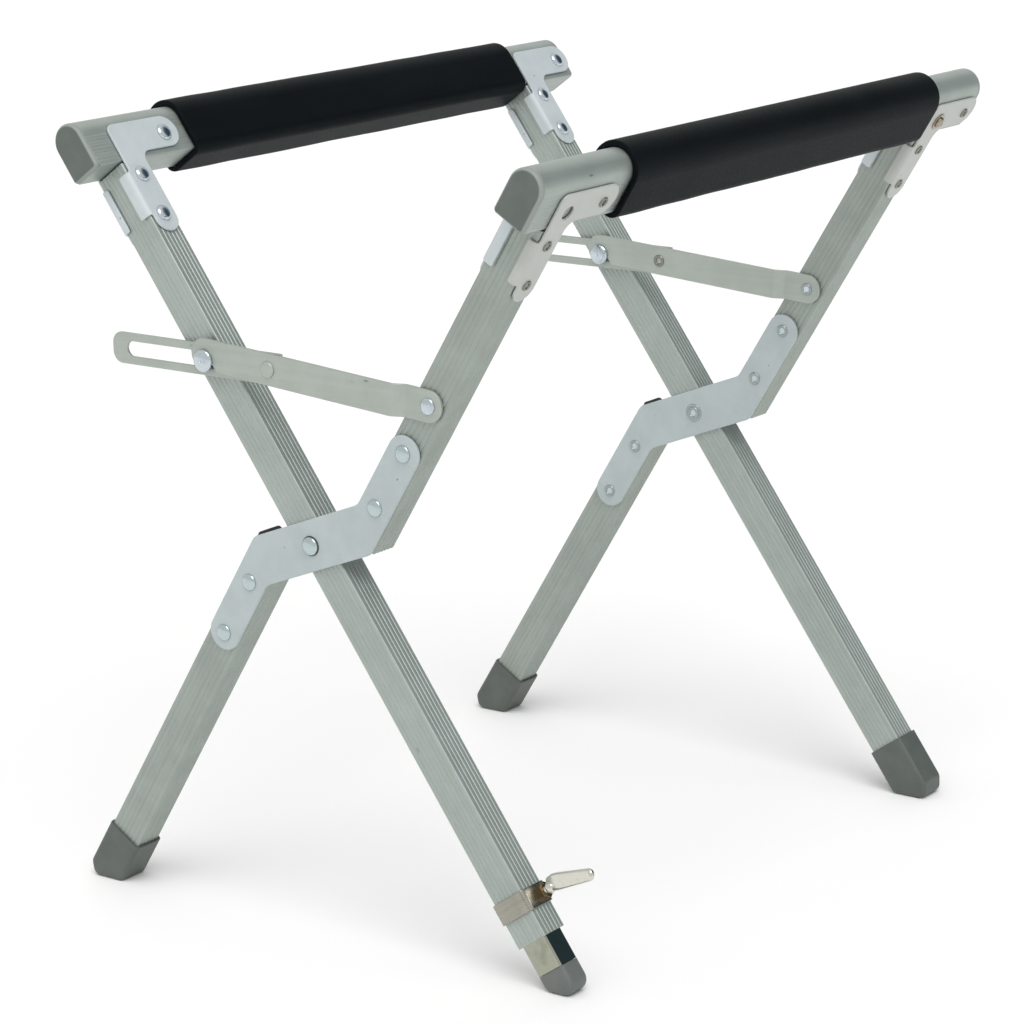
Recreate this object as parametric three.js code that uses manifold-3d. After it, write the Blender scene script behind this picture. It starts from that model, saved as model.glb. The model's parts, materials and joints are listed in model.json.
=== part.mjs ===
// Folding sawhorse: two rail frames crossing at a pair of pivots, with a hooked lock arm on each side.
// Millimetres, +Z up. Rails run along Y, the frames spread along X.
import * as THREE from 'three';
import { mergeVertices } from 'three/addons/utils/BufferGeometryUtils.js';
import Module from 'manifold-3d';

const wasm = await Module();
wasm.setup();

// Stance: frame A leans its rail to -X, frame B leans its rail to +X.
const LEAN_A = 35.3;
const LEAN_B = 32.1;
const PIVOT_HEIGHT = 274;
const PIVOT_X = 2.6;
const FACE = { near: -250.75, far: 207.25 };
const GAP = 0.3;

// Leg tubes, 26 across the frame and 22 along the rails.
const LEG_W = 26;
const LEG_D = 22;
const LEG_WALL = 1.6;
const LEG_CORNER = 2;
const OFFSET_B = 28.9;
const PLUG = { side: 0.2, head: 4, stub: 10 };
const LEG_A_FAR_END = -317;
const LEG_A_NEAR_END = -295.5;
const UPPER_B_END = 27;
const LOWER_B_TOP = -27;
const LOWER_B_END = -325;

// Rails: flat sides under a half-round top.
const RAIL_BOTTOM_A = 287;
const RAIL_BOTTOM_B = 291;
const RAIL_W = 26;
const RAIL_H = 38.5;
const RAIL_WALL = 1.8;
const RAIL_ENDS = [-269.25, 269.25];
const CAP_T = 4;
const CAP_PLUG = 6;
const LEG_TO_RAIL = 1.2;

// Foam sleeves.
const PAD_ENDS = [-177.25, 204.25];
const PAD_T = 4.6;
const PAD_BOTTOM_CORNER = 8;

// Rail brackets, measured from the leg's -Y face and from the underside of the rail.
const BRACKET_T = 1.8;
const BRACKET_LEFT = 2;
const BRACKET_TOP = 27;
const BRACKET_ARM_END = 65;
const BRACKET_ARM_LOW = 4;
const BRACKET_TONGUE = 56;
const FLANGE = { high: -9, low: -42, inner: 5.8, outer: 8 };
const RAIL_RIVET = { y: 51, z: 14.4, r: 2.5, headR: 5.7, headH: 2.4, tailR: 4.2, boreR: 1.7 };
const SPARE_HOLE = { y: 15.5, z: 12, r: 5 };
const RAIL_SCREW = { r: 2.6, tip: 9.5, washerR: 6.5, washerT: 1, headR: 4.4, headH: 2.6 };

// Pivot plates joining the two halves of each leg B. The bends of every edge lie on one mitre.
const PLATE_T = 2.5;
const PLATE_END = 114.8;
const PLATE_FRONT_HALF_W = 12.6;
const PLATE_BACK_HALF_W = 10.8;
const PLATE_BEND = 38;
const PLATE_MITRE = 0.9;
const PLATE_RIVETS = [57, 102.8];
const RIVET_R = 3;
const HEAD_R = 6;
const HEAD_H = 2.3;
const PIVOT_R = 4;
const PIVOT_HEAD = { washerR: 7.6, washerT: 1, frontR: 6.3, frontH: 2.6, backR: 7, backH: 2.4 };

// Lock link.
const STUD_ALONG = 142.3;
const ARM_PIVOT_ALONG = 142.3;
const LINK_W = 21.5;
const ARM_TO_RIVET = 127.9;
const ARM_RISE = 3;
const ARM_TIP = 193.6;
const ARM_T = 2.4;
const ARM_OUT = 5.3;
const JOGGLE = [19, 26];
const HOOK_CLEAR = 0.6;
const HOOK_SLOPE = 50;
const BAR_T = 2.3;
const BAR_OUT = 2.6;
const BAR_RIVET_END = 9.5;
const BAR_RIVET_CORNER = 1.5;
const BAR_TAIL_CORNER = 8;
const BAR_TAIL = 83.6;
const SLOT_W = 10.4;
const SLOT = [-70.8, 16.9];
const STUD_R = 4;
const STUD_HEAD = { r: 7.75, rim: 1.6, h: 3.4, dimpleR: 1.6 };
const STUD_COLLAR_R = 6;
const LINK_HEAD_R = 5.8;
const LINK_HEAD_H = 2.4;

// Feet.
const BOOT_W = 30;
const BOOT_D = 25.5;
const BOOT_TOP_A = -291;
const BOOT_TOP_B = -299;
const BOOT_CHAMFER_U = 7.5;
const BOOT_CHAMFER_V = 39;
const INNER_W = 22;
const INNER_D = 18;
const INNER_WALL = 1.4;
const INNER_TOP = -165;
const FOOT_TOP = -317.5;
const FOOT_W = 23;
const FOOT_D = 19;
const FOOT_CORNER = 8;
const FOOT_PLUG = 8;
const BAND = { high: -263, low: -277.5, t: 1.5, nutR: 6, nutH: 5 };
const SCREW_R = 3.4;
const SCREW_ACROSS = 5.2;
const SCREW_NECK = 22.5;
const SCREW_TIP = 62;
const SPADE = { rootW: 7, shoulderW: 11.5, tipW: 8, t: 4.2, rise: 3, droop: 14, roll: 15 };

const FINISH = {
  leg: { color: 0xa4aba2, roughness: 0.42, metalness: 0.85 },
  plate: { color: 0xbcc5c8, roughness: 0.45, metalness: 0.25 },
  zinc: { color: 0xb9b9b4, roughness: 0.3, metalness: 1 },
  chrome: { color: 0xc9c6bd, roughness: 0.12, metalness: 1 },
  foam: { color: 0x1f2428, roughness: 0.75, metalness: 0 },
  cap: { color: 0x6c736e, roughness: 0.6, metalness: 0 },
  boot: { color: 0x5d6460, roughness: 0.55, metalness: 0 },
  black: { color: 0x202224, roughness: 0.5, metalness: 0 },
  band: { color: 0x8f877a, roughness: 0.35, metalness: 1 },
  brass: { color: 0xb59a55, roughness: 0.3, metalness: 1 },
};

const rad = (degrees) => degrees * Math.PI / 180;

// ---- outlines ------------------------------------------------------------------------------

// Closed outline through corners [x, y, radius].
function outline(corners, step = rad(18)) {
  const points = [];
  const add = (point) => {
    const last = points[points.length - 1];
    if (!last || last.distanceTo(point) > 1e-4) points.push(point);
  };
  corners.forEach(([x, y, radius = 0], i) => {
    const here = new THREE.Vector2(x, y);
    if (radius === 0) {
      add(here);
      return;
    }
    const [px, py] = corners[(i + corners.length - 1) % corners.length];
    const [nx, ny] = corners[(i + 1) % corners.length];
    const back = new THREE.Vector2(px - x, py - y).normalize();
    const ahead = new THREE.Vector2(nx - x, ny - y).normalize();
    const half = Math.acos(back.dot(ahead)) / 2;
    const middle = back.clone().add(ahead).normalize();
    const centre = here.clone().addScaledVector(middle, radius / Math.sin(half));
    const start = here.clone().addScaledVector(back, radius / Math.tan(half)).sub(centre).angle();
    const end = here.clone().addScaledVector(ahead, radius / Math.tan(half)).sub(centre).angle();
    let sweep = end - start;
    if (sweep > Math.PI) sweep -= 2 * Math.PI;
    if (sweep < -Math.PI) sweep += 2 * Math.PI;
    const count = Math.max(2, Math.round(Math.abs(sweep) / step));
    for (let k = 0; k <= count; k += 1) {
      const angle = start + sweep * k / count;
      add(new THREE.Vector2(centre.x + radius * Math.cos(angle), centre.y + radius * Math.sin(angle)));
    }
  });
  if (points[0].distanceTo(points[points.length - 1]) < 1e-4) points.pop();
  return points;
}

function box(width, height, corner) {
  const x = width / 2;
  const y = height / 2;
  return outline([[-x, -y, corner], [x, -y, corner], [x, y, corner], [-x, y, corner]], rad(30));
}

// Flat bottom and sides under a half-round top, grown outwards by `grow`.
function railOutline(grow, bottomCorner) {
  const x = RAIL_W / 2 + grow;
  const low = -grow;
  const high = RAIL_H + grow;
  return outline([[-x, low, bottomCorner], [x, low, bottomCorner], [x, high, x], [-x, high, x]], rad(15));
}

// ---- solids --------------------------------------------------------------------------------

function extrudeZ(points, low, high, holes = []) {
  const shape = new THREE.Shape(points);
  holes.forEach((hole) => shape.holes.push(new THREE.Path(hole)));
  const geometry = new THREE.ExtrudeGeometry(shape, { depth: high - low, bevelEnabled: false });
  return geometry.translate(0, 0, low);
}

// Outline in X and Z, thickness along Y.
function extrudeY(points, low, high, holes = []) {
  return extrudeZ(points, -high, -low, holes).rotateX(Math.PI / 2);
}

// Outline in Y and Z, thickness along X.
function extrudeX(points, low, high, holes = []) {
  const turn = new THREE.Matrix4().makeBasis(
    new THREE.Vector3(0, 1, 0),
    new THREE.Vector3(0, 0, 1),
    new THREE.Vector3(1, 0, 0),
  );
  return extrudeZ(points, low, high, holes).applyMatrix4(turn);
}

// Cylinder from `low` to `high` along X or Y, through the given other two coordinates.
function rod(axis, radius, low, high, across, z, sides = 16) {
  const geometry = new THREE.CylinderGeometry(radius, radius, high - low, sides);
  const middle = (low + high) / 2;
  if (axis === 'x') return geometry.rotateZ(-Math.PI / 2).translate(middle, across, z);
  return geometry.translate(across, middle, z);
}

// Solid of revolution about Y from [radius, y] points that start and end on the axis.
function revolve(profile, sides = 16) {
  return new THREE.LatheGeometry(profile.map(([r, y]) => new THREE.Vector2(r, y)), sides);
}

function toSolid(geometry) {
  const bare = geometry.clone();
  bare.deleteAttribute('normal');
  bare.deleteAttribute('uv');
  const merged = mergeVertices(bare, 1e-4);
  return new wasm.Manifold(new wasm.Mesh({
    numProp: 3,
    vertProperties: new Float32Array(merged.attributes.position.array),
    triVerts: new Uint32Array(merged.index.array),
  }));
}

function toGeometry(solid) {
  const { vertProperties, triVerts } = solid.getMesh();
  const geometry = new THREE.BufferGeometry();
  geometry.setAttribute('position', new THREE.BufferAttribute(vertProperties, 3));
  geometry.setIndex(new THREE.BufferAttribute(triVerts, 1));
  geometry.computeVertexNormals();
  return geometry;
}

function cut(geometry, tools) {
  return toGeometry(tools.reduce((solid, tool) => solid.subtract(toSolid(tool)), toSolid(geometry)));
}

function join(first, second) {
  return toGeometry(toSolid(first).add(toSolid(second)));
}

function common(first, second) {
  return toGeometry(toSolid(first).intersect(toSolid(second)));
}

function piece(name, geometry, finish) {
  const mesh = new THREE.Mesh(geometry, new THREE.MeshStandardMaterial(finish));
  mesh.name = name;
  return mesh;
}

// Points of a low dome on a flat head, from the rim to the axis; `out` is +1 or -1 along Y.
function dome(radius, height, base, out) {
  return [
    [radius, base],
    [radius, base + out * height * 0.3],
    [radius * 0.68, base + out * height * 0.85],
    [0, base + out * height],
  ];
}

// Shank along Y with a dome at each end.
function rivet(radius, low, high, headR = HEAD_R, headH = HEAD_H) {
  return revolve([
    ...dome(headR, headH, low, -1).reverse(),
    [radius, low],
    [radius, high],
    ...dome(headR, headH, high, 1),
  ]);
}

// ---- legs ----------------------------------------------------------------------------------

function legTube(low, high, holes) {
  const inside = box(LEG_W - 2 * LEG_WALL, LEG_D - 2 * LEG_WALL, LEG_CORNER / 2);
  const tube = extrudeZ(box(LEG_W, LEG_D, LEG_CORNER), low, high, [inside]);
  return cut(tube, holes);
}

// Hole through both Y faces of a leg tube.
function crossHole(radius, z) {
  return rod('y', radius + GAP, -LEG_D, LEG_D, 0, z);
}

function legA(side) {
  const near = side === 'near';
  const holes = [crossHole(PIVOT_R, 0), crossHole(STUD_R, STUD_ALONG)];
  const bandZ = (BAND.high + BAND.low) / 2;
  if (near) holes.push(rod('x', SCREW_R + GAP, 0, LEG_W, SCREW_ACROSS, bandZ));
  const low = near ? LEG_A_NEAR_END : LEG_A_FAR_END;
  return piece(`leg_a_${side}`, legTube(low, RAIL_BOTTOM_A - LEG_TO_RAIL, holes), FINISH.leg);
}

function upperLegB(side) {
  const holes = PLATE_RIVETS.map((z) => crossHole(RIVET_R, z));
  holes.push(crossHole(RIVET_R, ARM_PIVOT_ALONG));
  const tube = legTube(UPPER_B_END, RAIL_BOTTOM_B - LEG_TO_RAIL, holes);
  return piece(`upper_leg_b_${side}`, tube, FINISH.leg);
}

function lowerLegB(side) {
  const holes = PLATE_RIVETS.map((z) => crossHole(RIVET_R, -z));
  return piece(`lower_leg_b_${side}`, legTube(LOWER_B_END, LOWER_B_TOP, holes), FINISH.leg);
}

function legPlug(side) {
  const top = LOWER_B_TOP + PLUG.head;
  const plan = box(LEG_W - 2 * PLUG.side, LEG_D - 2 * PLUG.side, LEG_CORNER);
  const head = extrudeZ(plan, LOWER_B_TOP + GAP, top);
  const room = 2 * (LEG_WALL + GAP);
  const stub = extrudeZ(box(LEG_W - room, LEG_D - room, 1), LOWER_B_TOP - PLUG.stub, top - 1);
  return piece(`leg_plug_b_${side}`, join(head, stub), FINISH.black);
}

// ---- rails ---------------------------------------------------------------------------------

function rail(name, screwed) {
  const hollow = railOutline(-RAIL_WALL, 1);
  const tube = extrudeY(railOutline(0, 1.5), RAIL_ENDS[0], RAIL_ENDS[1], [hollow]);
  const holes = Object.values(FACE).map((face) => (
    rod('x', RAIL_RIVET.r + GAP, -RAIL_W, RAIL_W, face + RAIL_RIVET.y, RAIL_RIVET.z)
  ));
  if (screwed) holes.push(rod('x', RAIL_SCREW.r + GAP, 0, RAIL_W, FACE.far + SPARE_HOLE.y, SPARE_HOLE.z));
  return piece(name, cut(tube, holes), FINISH.leg);
}

function railCap(name, end) {
  const out = Math.sign(end);
  const flat = [end + out * 0.1, end + out * CAP_T].sort((a, b) => a - b);
  const deep = [end - out * CAP_PLUG, end + out].sort((a, b) => a - b);
  const plate = extrudeY(railOutline(0, 2.5), ...flat);
  const plug = extrudeY(railOutline(-RAIL_WALL - GAP, 1), ...deep);
  return piece(name, join(plate, plug), FINISH.cap);
}

function pad(name) {
  const sleeve = extrudeY(railOutline(PAD_T, PAD_BOTTOM_CORNER), ...PAD_ENDS, [railOutline(GAP, 1.8)]);
  return piece(name, sleeve, FINISH.foam);
}

// Bracket on the +X (sign 1) or -X (sign -1) face of a leg, with its lip folded round the -Y face.
function bracket(name, sign, reach, spareHole) {
  const lipFace = -GAP - BRACKET_T;
  const plateOutline = outline([
    [BRACKET_LEFT, BRACKET_TOP, 6],
    [BRACKET_LEFT, FLANGE.high],
    [lipFace, FLANGE.high],
    [lipFace, FLANGE.low],
    [BRACKET_LEFT, FLANGE.low],
    [BRACKET_LEFT, -BRACKET_TONGUE, 9.9],
    [LEG_D, -BRACKET_TONGUE, 9.9],
    [LEG_D, BRACKET_ARM_LOW, 8],
    [BRACKET_ARM_END, BRACKET_ARM_LOW, 11.4],
    [BRACKET_ARM_END, BRACKET_TOP, 11.4],
  ]);
  const face = LEG_W / 2 + GAP;
  const xs = [sign * face, sign * (face + BRACKET_T)].sort((a, b) => a - b);
  const plate = extrudeX(plateOutline, ...xs);
  const lipXs = [sign * reach, sign * (face + BRACKET_T)].sort((a, b) => a - b);
  const lip = new THREE.BoxGeometry(lipXs[1] - lipXs[0], BRACKET_T, FLANGE.high - FLANGE.low);
  lip.translate((lipXs[0] + lipXs[1]) / 2, lipFace + BRACKET_T / 2, (FLANGE.high + FLANGE.low) / 2);
  const holes = [rod('x', RAIL_RIVET.r + GAP, -RAIL_W, RAIL_W, RAIL_RIVET.y, RAIL_RIVET.z)];
  if (spareHole) holes.push(rod('x', SPARE_HOLE.r, -RAIL_W, RAIL_W, SPARE_HOLE.y, SPARE_HOLE.z));
  return piece(name, cut(join(plate, lip), holes), FINISH.plate);
}

// Semi-tubular rivet through the rail and both brackets; `sign` is the side of the domed head.
function railRivet(name, sign) {
  const face = LEG_W / 2 + GAP + BRACKET_T + GAP;
  const { r, headR, headH, tailR, boreR } = RAIL_RIVET;
  const body = revolve([
    [0, -face - 0.6],
    [boreR, -face - 0.6],
    [boreR, -face - 3],
    [tailR - 1, -face - 3],
    [tailR, -face - 1.2],
    [tailR, -face],
    [r, -face],
    [r, face],
    ...dome(headR, headH, face, 1),
  ]);
  body.rotateZ(-sign * Math.PI / 2).translate(0, RAIL_RIVET.y, RAIL_RIVET.z);
  return piece(name, body, FINISH.zinc);
}

// Washer-head screw in the spare hole of the far outer bracket on frame B.
function railScrew(name, sign) {
  const face = LEG_W / 2 + GAP + BRACKET_T + GAP;
  const { r, tip, washerR, washerT, headR, headH } = RAIL_SCREW;
  const body = revolve([
    [0, tip],
    [r, tip],
    [r, face],
    [washerR, face],
    ...dome(headR, headH, face + washerT, 1),
  ]);
  body.rotateZ(-sign * Math.PI / 2).translate(0, SPARE_HOLE.y, SPARE_HOLE.z);
  return piece(name, body, FINISH.brass);
}

// ---- pivot plates --------------------------------------------------------------------------

function pivotPlate(name, low, halfW) {
  const half = [
    [OFFSET_B + halfW, PLATE_BEND - PLATE_MITRE * halfW, 9],
    [OFFSET_B + halfW, PLATE_END, halfW - GAP],
    [OFFSET_B - halfW, PLATE_END, halfW - GAP],
    [OFFSET_B - halfW, PLATE_BEND + PLATE_MITRE * halfW, 9],
  ];
  const points = outline([...half, ...half.map(([x, z, r]) => [-x, -z, r])]);
  const plate = extrudeY(points, low, low + PLATE_T);
  const holes = [rod('y', PIVOT_R + GAP, low - 5, low + 10, 0, 0)];
  PLATE_RIVETS.forEach((z) => {
    holes.push(rod('y', RIVET_R + GAP, low - 5, low + 10, OFFSET_B, z));
    holes.push(rod('y', RIVET_R + GAP, low - 5, low + 10, -OFFSET_B, -z));
  });
  return piece(name, cut(plate, holes), FINISH.plate);
}

// Everything below is placed relative to the leg's -Y face.
const PLATE_LOW = -GAP - PLATE_T;
const PLATE_HIGH = LEG_D + GAP;

function plateRivet(name, x, z) {
  const body = rivet(RIVET_R, PLATE_LOW - GAP, PLATE_HIGH + PLATE_T + GAP);
  return piece(name, body.translate(x, 0, z), FINISH.plate);
}

function pivotRivet(name) {
  const low = PLATE_LOW - GAP;
  const high = PLATE_HIGH + PLATE_T + GAP;
  const { washerR, washerT, frontR, frontH, backR, backH } = PIVOT_HEAD;
  const body = revolve([
    ...dome(frontR, frontH, low - washerT, -1).reverse(),
    [washerR, low - washerT],
    [washerR, low],
    [PIVOT_R, low],
    [PIVOT_R, high],
    ...dome(backR, backH, high, 1),
  ]);
  return piece(name, body, FINISH.plate);
}

// ---- lock link -----------------------------------------------------------------------------

// Arm lies along -X from its pivot at the origin; thickness outwards from the leg face along -Y.
function lockArm(side) {
  const half = LINK_W / 2;
  const strip = outline([
    [half, -half, half - 0.01],
    [half, half, half - 0.01],
    [-ARM_TIP, half, half - 0.01],
    [-ARM_TIP, -half, half - 0.01],
  ]);
  const blank = extrudeY(strip, -ARM_OUT - ARM_T, 0);
  const bend = outline([
    [half + 5, -GAP],
    [-JOGGLE[0], -GAP],
    [-JOGGLE[1], -ARM_OUT],
    [-ARM_TIP - 5, -ARM_OUT],
    [-ARM_TIP - 5, -ARM_OUT - ARM_T],
    [-JOGGLE[1] - 1, -ARM_OUT - ARM_T],
    [-JOGGLE[0] - 1, -GAP - ARM_T],
    [half + 5, -GAP - ARM_T],
  ]);
  const formed = common(blank, extrudeZ(bend, -LINK_W, LINK_W));
  const holes = [
    rod('y', RIVET_R + GAP, -20, 5, 0, 0),
    rod('y', RIVET_R + GAP, -20, 5, -ARM_TO_RIVET, 0),
    hookNotch(),
  ];
  return piece(`lock_arm_${side}`, cut(formed, holes), FINISH.leg);
}

// Notch over the stud: upright wall at the tip side, sloping way out towards the pivot.
function hookNotch() {
  const { x, z } = STUD_IN_ARM;
  const r = STUD_R + HOOK_CLEAR;
  const slope = rad(HOOK_SLOPE);
  const start = Math.PI;
  const end = Math.PI / 2 - slope;
  const steps = 10;
  const points = [];
  for (let k = 0; k <= steps; k += 1) {
    const angle = start + (end - start) * k / steps;
    points.push(new THREE.Vector2(x + r * Math.cos(angle), z + r * Math.sin(angle)));
  }
  const way = LINK_W;
  const exit = points[steps].clone().add(new THREE.Vector2(way * Math.cos(slope), -way * Math.sin(slope)));
  points.push(exit);
  points.push(new THREE.Vector2(x - r, exit.y));
  return extrudeY(points, -2 * ARM_OUT, 0);
}

// Slotted bar: the stud stands at the origin and the rivet end lies towards +X.
function slottedBar(side) {
  const half = LINK_W / 2;
  const end = STUD_TO_RIVET + BAR_RIVET_END;
  const strip = outline([
    [-BAR_TAIL, -half, BAR_TAIL_CORNER],
    [end, -half, BAR_RIVET_CORNER],
    [end, half, BAR_RIVET_CORNER],
    [-BAR_TAIL, half, BAR_TAIL_CORNER],
  ]);
  const r = SLOT_W / 2;
  const slot = outline([
    [SLOT[0], -r, r - 0.01],
    [SLOT[1], -r, r - 0.01],
    [SLOT[1], r, r - 0.01],
    [SLOT[0], r, r - 0.01],
  ]);
  const plate = extrudeY(strip, -BAR_OUT - BAR_T, -BAR_OUT, [slot]);
  const hole = rod('y', RIVET_R + GAP, -20, 5, STUD_TO_RIVET, 0);
  return piece(`slotted_bar_${side}`, cut(plate, [hole]), FINISH.leg);
}

// Stud through leg A: riveted tail, collar that spaces the bar off the leg, shank and dimpled head.
function lockStud(side) {
  const head = -ARM_OUT - ARM_T - 0.4;
  const { r, rim, h, dimpleR } = STUD_HEAD;
  const body = revolve([
    [0, head - h + 0.8],
    [dimpleR, head - h + 0.7],
    [dimpleR + 0.8, head - h],
    [r * 0.7, head - h + 0.4],
    [r, head - rim],
    [r, head],
    [STUD_R, head],
    [STUD_R, -BAR_OUT + GAP],
    [STUD_COLLAR_R, -BAR_OUT + GAP],
    [STUD_COLLAR_R, -GAP],
    [STUD_R, -GAP],
    [STUD_R, LEG_D + GAP],
    ...dome(LINK_HEAD_R, LINK_HEAD_H, LEG_D + GAP, 1),
  ], 18);
  return piece(`lock_stud_${side}`, body, FINISH.zinc);
}

function armRivet(side) {
  const body = rivet(RIVET_R, -GAP - ARM_T - GAP, LEG_D + GAP, LINK_HEAD_R, LINK_HEAD_H);
  return piece(`arm_pivot_rivet_${side}`, body, FINISH.zinc);
}

function linkRivet(side) {
  const low = -ARM_OUT - ARM_T - GAP;
  const body = revolve([
    ...dome(LINK_HEAD_R, LINK_HEAD_H, low, -1).reverse(),
    [RIVET_R, low],
    [RIVET_R, -ARM_OUT],
    [0, -ARM_OUT],
  ]);
  return piece(`link_rivet_${side}`, body.translate(-ARM_TO_RIVET, 0, 0), FINISH.zinc);
}

// ---- feet ----------------------------------------------------------------------------------

// Height along a leg at which the floor lies, for a point `x` across the frame.
function floorAlong(lean, x) {
  return (-PIVOT_HEIGHT + x * Math.sin(rad(lean))) / Math.cos(rad(lean));
}

// `lean` is signed as the frame's turn about Y; `middle` is the tube's place across the frame.
function boot(name, lean, middle, top, tubeEnd) {
  const out = -Math.sign(lean);
  const across = (u) => middle + out * u;
  const floor = (u) => floorAlong(lean, across(u));
  const half = BOOT_W / 2;
  const side = outline([
    [across(-half), top, 1.2],
    [across(-half), floor(-half), 4],
    [across(BOOT_CHAMFER_U), floor(BOOT_CHAMFER_U), 3],
    [across(half), top - BOOT_CHAMFER_V, 3],
    [across(half), top, 1.2],
  ]);
  if (out < 0) side.reverse();
  const profile = extrudeY(side, -BOOT_D, BOOT_D);
  const plan = extrudeZ(box(BOOT_W, BOOT_D, 3.5), top - 80, top + 5).translate(middle, 0, 0);
  const room = extrudeZ(box(LEG_W + 2 * GAP, LEG_D + 2 * GAP, LEG_CORNER), tubeEnd - GAP, top + 10);
  return piece(name, cut(common(profile, plan), [room.translate(middle, 0, 0)]), FINISH.boot);
}

function extensionTube() {
  const inside = box(INNER_W - 2 * INNER_WALL, INNER_D - 2 * INNER_WALL, 0.8);
  const tube = extrudeZ(box(INNER_W, INNER_D, 1.6), FOOT_TOP + GAP, INNER_TOP, [inside]);
  return piece('extension_tube', tube, FINISH.chrome);
}

function footCap() {
  const half = FOOT_W / 2;
  const side = outline([
    [-half, FOOT_TOP, 1.5],
    [-half, floorAlong(-LEAN_A, -half), FOOT_CORNER],
    [half, floorAlong(-LEAN_A, half), FOOT_CORNER],
    [half, FOOT_TOP, 1.5],
  ]);
  const profile = extrudeY(side, -FOOT_D, FOOT_D);
  const plan = extrudeZ(box(FOOT_W, FOOT_D, 3), FOOT_TOP - 60, FOOT_TOP + 5);
  const room = 2 * (INNER_WALL + GAP);
  const plug = extrudeZ(box(INNER_W - room, INNER_D - room, 0.6), FOOT_TOP - 1, FOOT_TOP + FOOT_PLUG);
  return piece('foot_cap', join(common(profile, plan), plug), FINISH.cap);
}

// Band round the leg with its welded nut on the +X face.
function clampBand() {
  const middle = (BAND.high + BAND.low) / 2;
  const insideW = LEG_W + 2 * GAP;
  const insideD = LEG_D + 2 * GAP;
  const outsideW = insideW + 2 * BAND.t;
  const outsideD = insideD + 2 * BAND.t;
  const ring = extrudeZ(box(outsideW, outsideD, 3.5), BAND.low, BAND.high, [box(insideW, insideD, 2)]);
  const root = outsideW / 2 - BAND.t / 2;
  const nut = rod('x', BAND.nutR, root, outsideW / 2 + BAND.nutH, SCREW_ACROSS, middle, 6);
  const bore = rod('x', SCREW_R + GAP, 5, outsideW, SCREW_ACROSS, middle);
  return piece('clamp_band', cut(join(ring, nut), [bore]), FINISH.band);
}

// Shank through the nut and leg, and a wing set high on its end that droops outwards.
function thumbScrew() {
  const middle = (BAND.high + BAND.low) / 2;
  const start = INNER_W / 2 + GAP;
  const shank = rod('x', SCREW_R, start, SCREW_NECK, 0, 0);
  const length = SCREW_TIP - SCREW_NECK;
  const half = [
    [-2, SPADE.rootW / 2, 1],
    [4, SPADE.shoulderW / 2, 4],
    [9, SPADE.shoulderW / 2, 4],
    [length, SPADE.tipW / 2, 3.9],
  ];
  const mirrored = half.map(([x, z, r]) => [x, -z, r]).reverse();
  const wing = extrudeY(outline([...half, ...mirrored]), -SPADE.t / 2, SPADE.t / 2);
  wing.translate(0, 0, SPADE.rise).rotateY(rad(SPADE.droop)).rotateX(rad(SPADE.roll));
  wing.translate(SCREW_NECK, 0, 0);
  return piece('thumb_screw', join(shank, wing).translate(0, SCREW_ACROSS, middle), FINISH.zinc);
}

// ---- assembly ------------------------------------------------------------------------------

function frameGroup(name, lean) {
  const group = new THREE.Group();
  group.name = name;
  group.position.set(PIVOT_X, 0, PIVOT_HEIGHT);
  group.rotation.y = rad(lean);
  return group;
}

// Lock geometry in frame B: where the stud lies seen from the arm pivot, with both frames open.
const opening = rad(LEAN_A + LEAN_B);
const studInB = { x: -STUD_ALONG * Math.sin(opening), z: STUD_ALONG * Math.cos(opening) };
const armPivot = { x: OFFSET_B, z: ARM_PIVOT_ALONG };
const span = Math.hypot(armPivot.x - studInB.x, armPivot.z - studInB.z);
const rise = Math.asin(ARM_RISE / ARM_TO_RIVET);
const linkTilt = Math.atan2(armPivot.z - studInB.z, armPivot.x - studInB.x);
const armTilt = linkTilt - rise;
const STUD_IN_ARM = { x: -span * Math.cos(rise), z: -span * Math.sin(rise) };
const rivetFromStud = { x: STUD_IN_ARM.x + ARM_TO_RIVET, z: STUD_IN_ARM.z };
const STUD_TO_RIVET = Math.hypot(rivetFromStud.x, rivetFromStud.z);
const barTilt = armTilt + Math.atan2(-rivetFromStud.z, -rivetFromStud.x) - opening;

function sideGroup(side) {
  const group = new THREE.Group();
  group.name = side;
  group.position.y = FACE[side];
  return group;
}

function atLegMiddle(mesh, x = 0) {
  mesh.position.set(x, LEG_D / 2, 0);
  return mesh;
}

function tilted(name, x, z, tilt, meshes) {
  const group = new THREE.Group();
  group.name = name;
  group.position.set(x, 0, z);
  group.rotation.y = -tilt;
  group.add(...meshes);
  return group;
}

function railGroup(letter, x, bottom, inward) {
  const group = new THREE.Group();
  group.name = `rail_group_${letter}`;
  group.position.set(x, 0, bottom);
  group.add(rail(`rail_${letter}`, letter === 'b'), pad(`foam_sleeve_${letter}`));
  group.add(railCap(`rail_cap_${letter}_near`, RAIL_ENDS[0]));
  group.add(railCap(`rail_cap_${letter}_far`, RAIL_ENDS[1]));
  Object.keys(FACE).forEach((side) => {
    const place = sideGroup(side);
    place.add(bracket(`bracket_${letter}_${side}_inner`, inward, FLANGE.inner, false));
    place.add(bracket(`bracket_${letter}_${side}_outer`, -inward, FLANGE.outer, true));
    place.add(railRivet(`rail_rivet_${letter}_${side}`, inward));
    if (letter === 'b' && side === 'far') place.add(railScrew('rail_screw_b_far', -inward));
    group.add(place);
  });
  return group;
}

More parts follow.
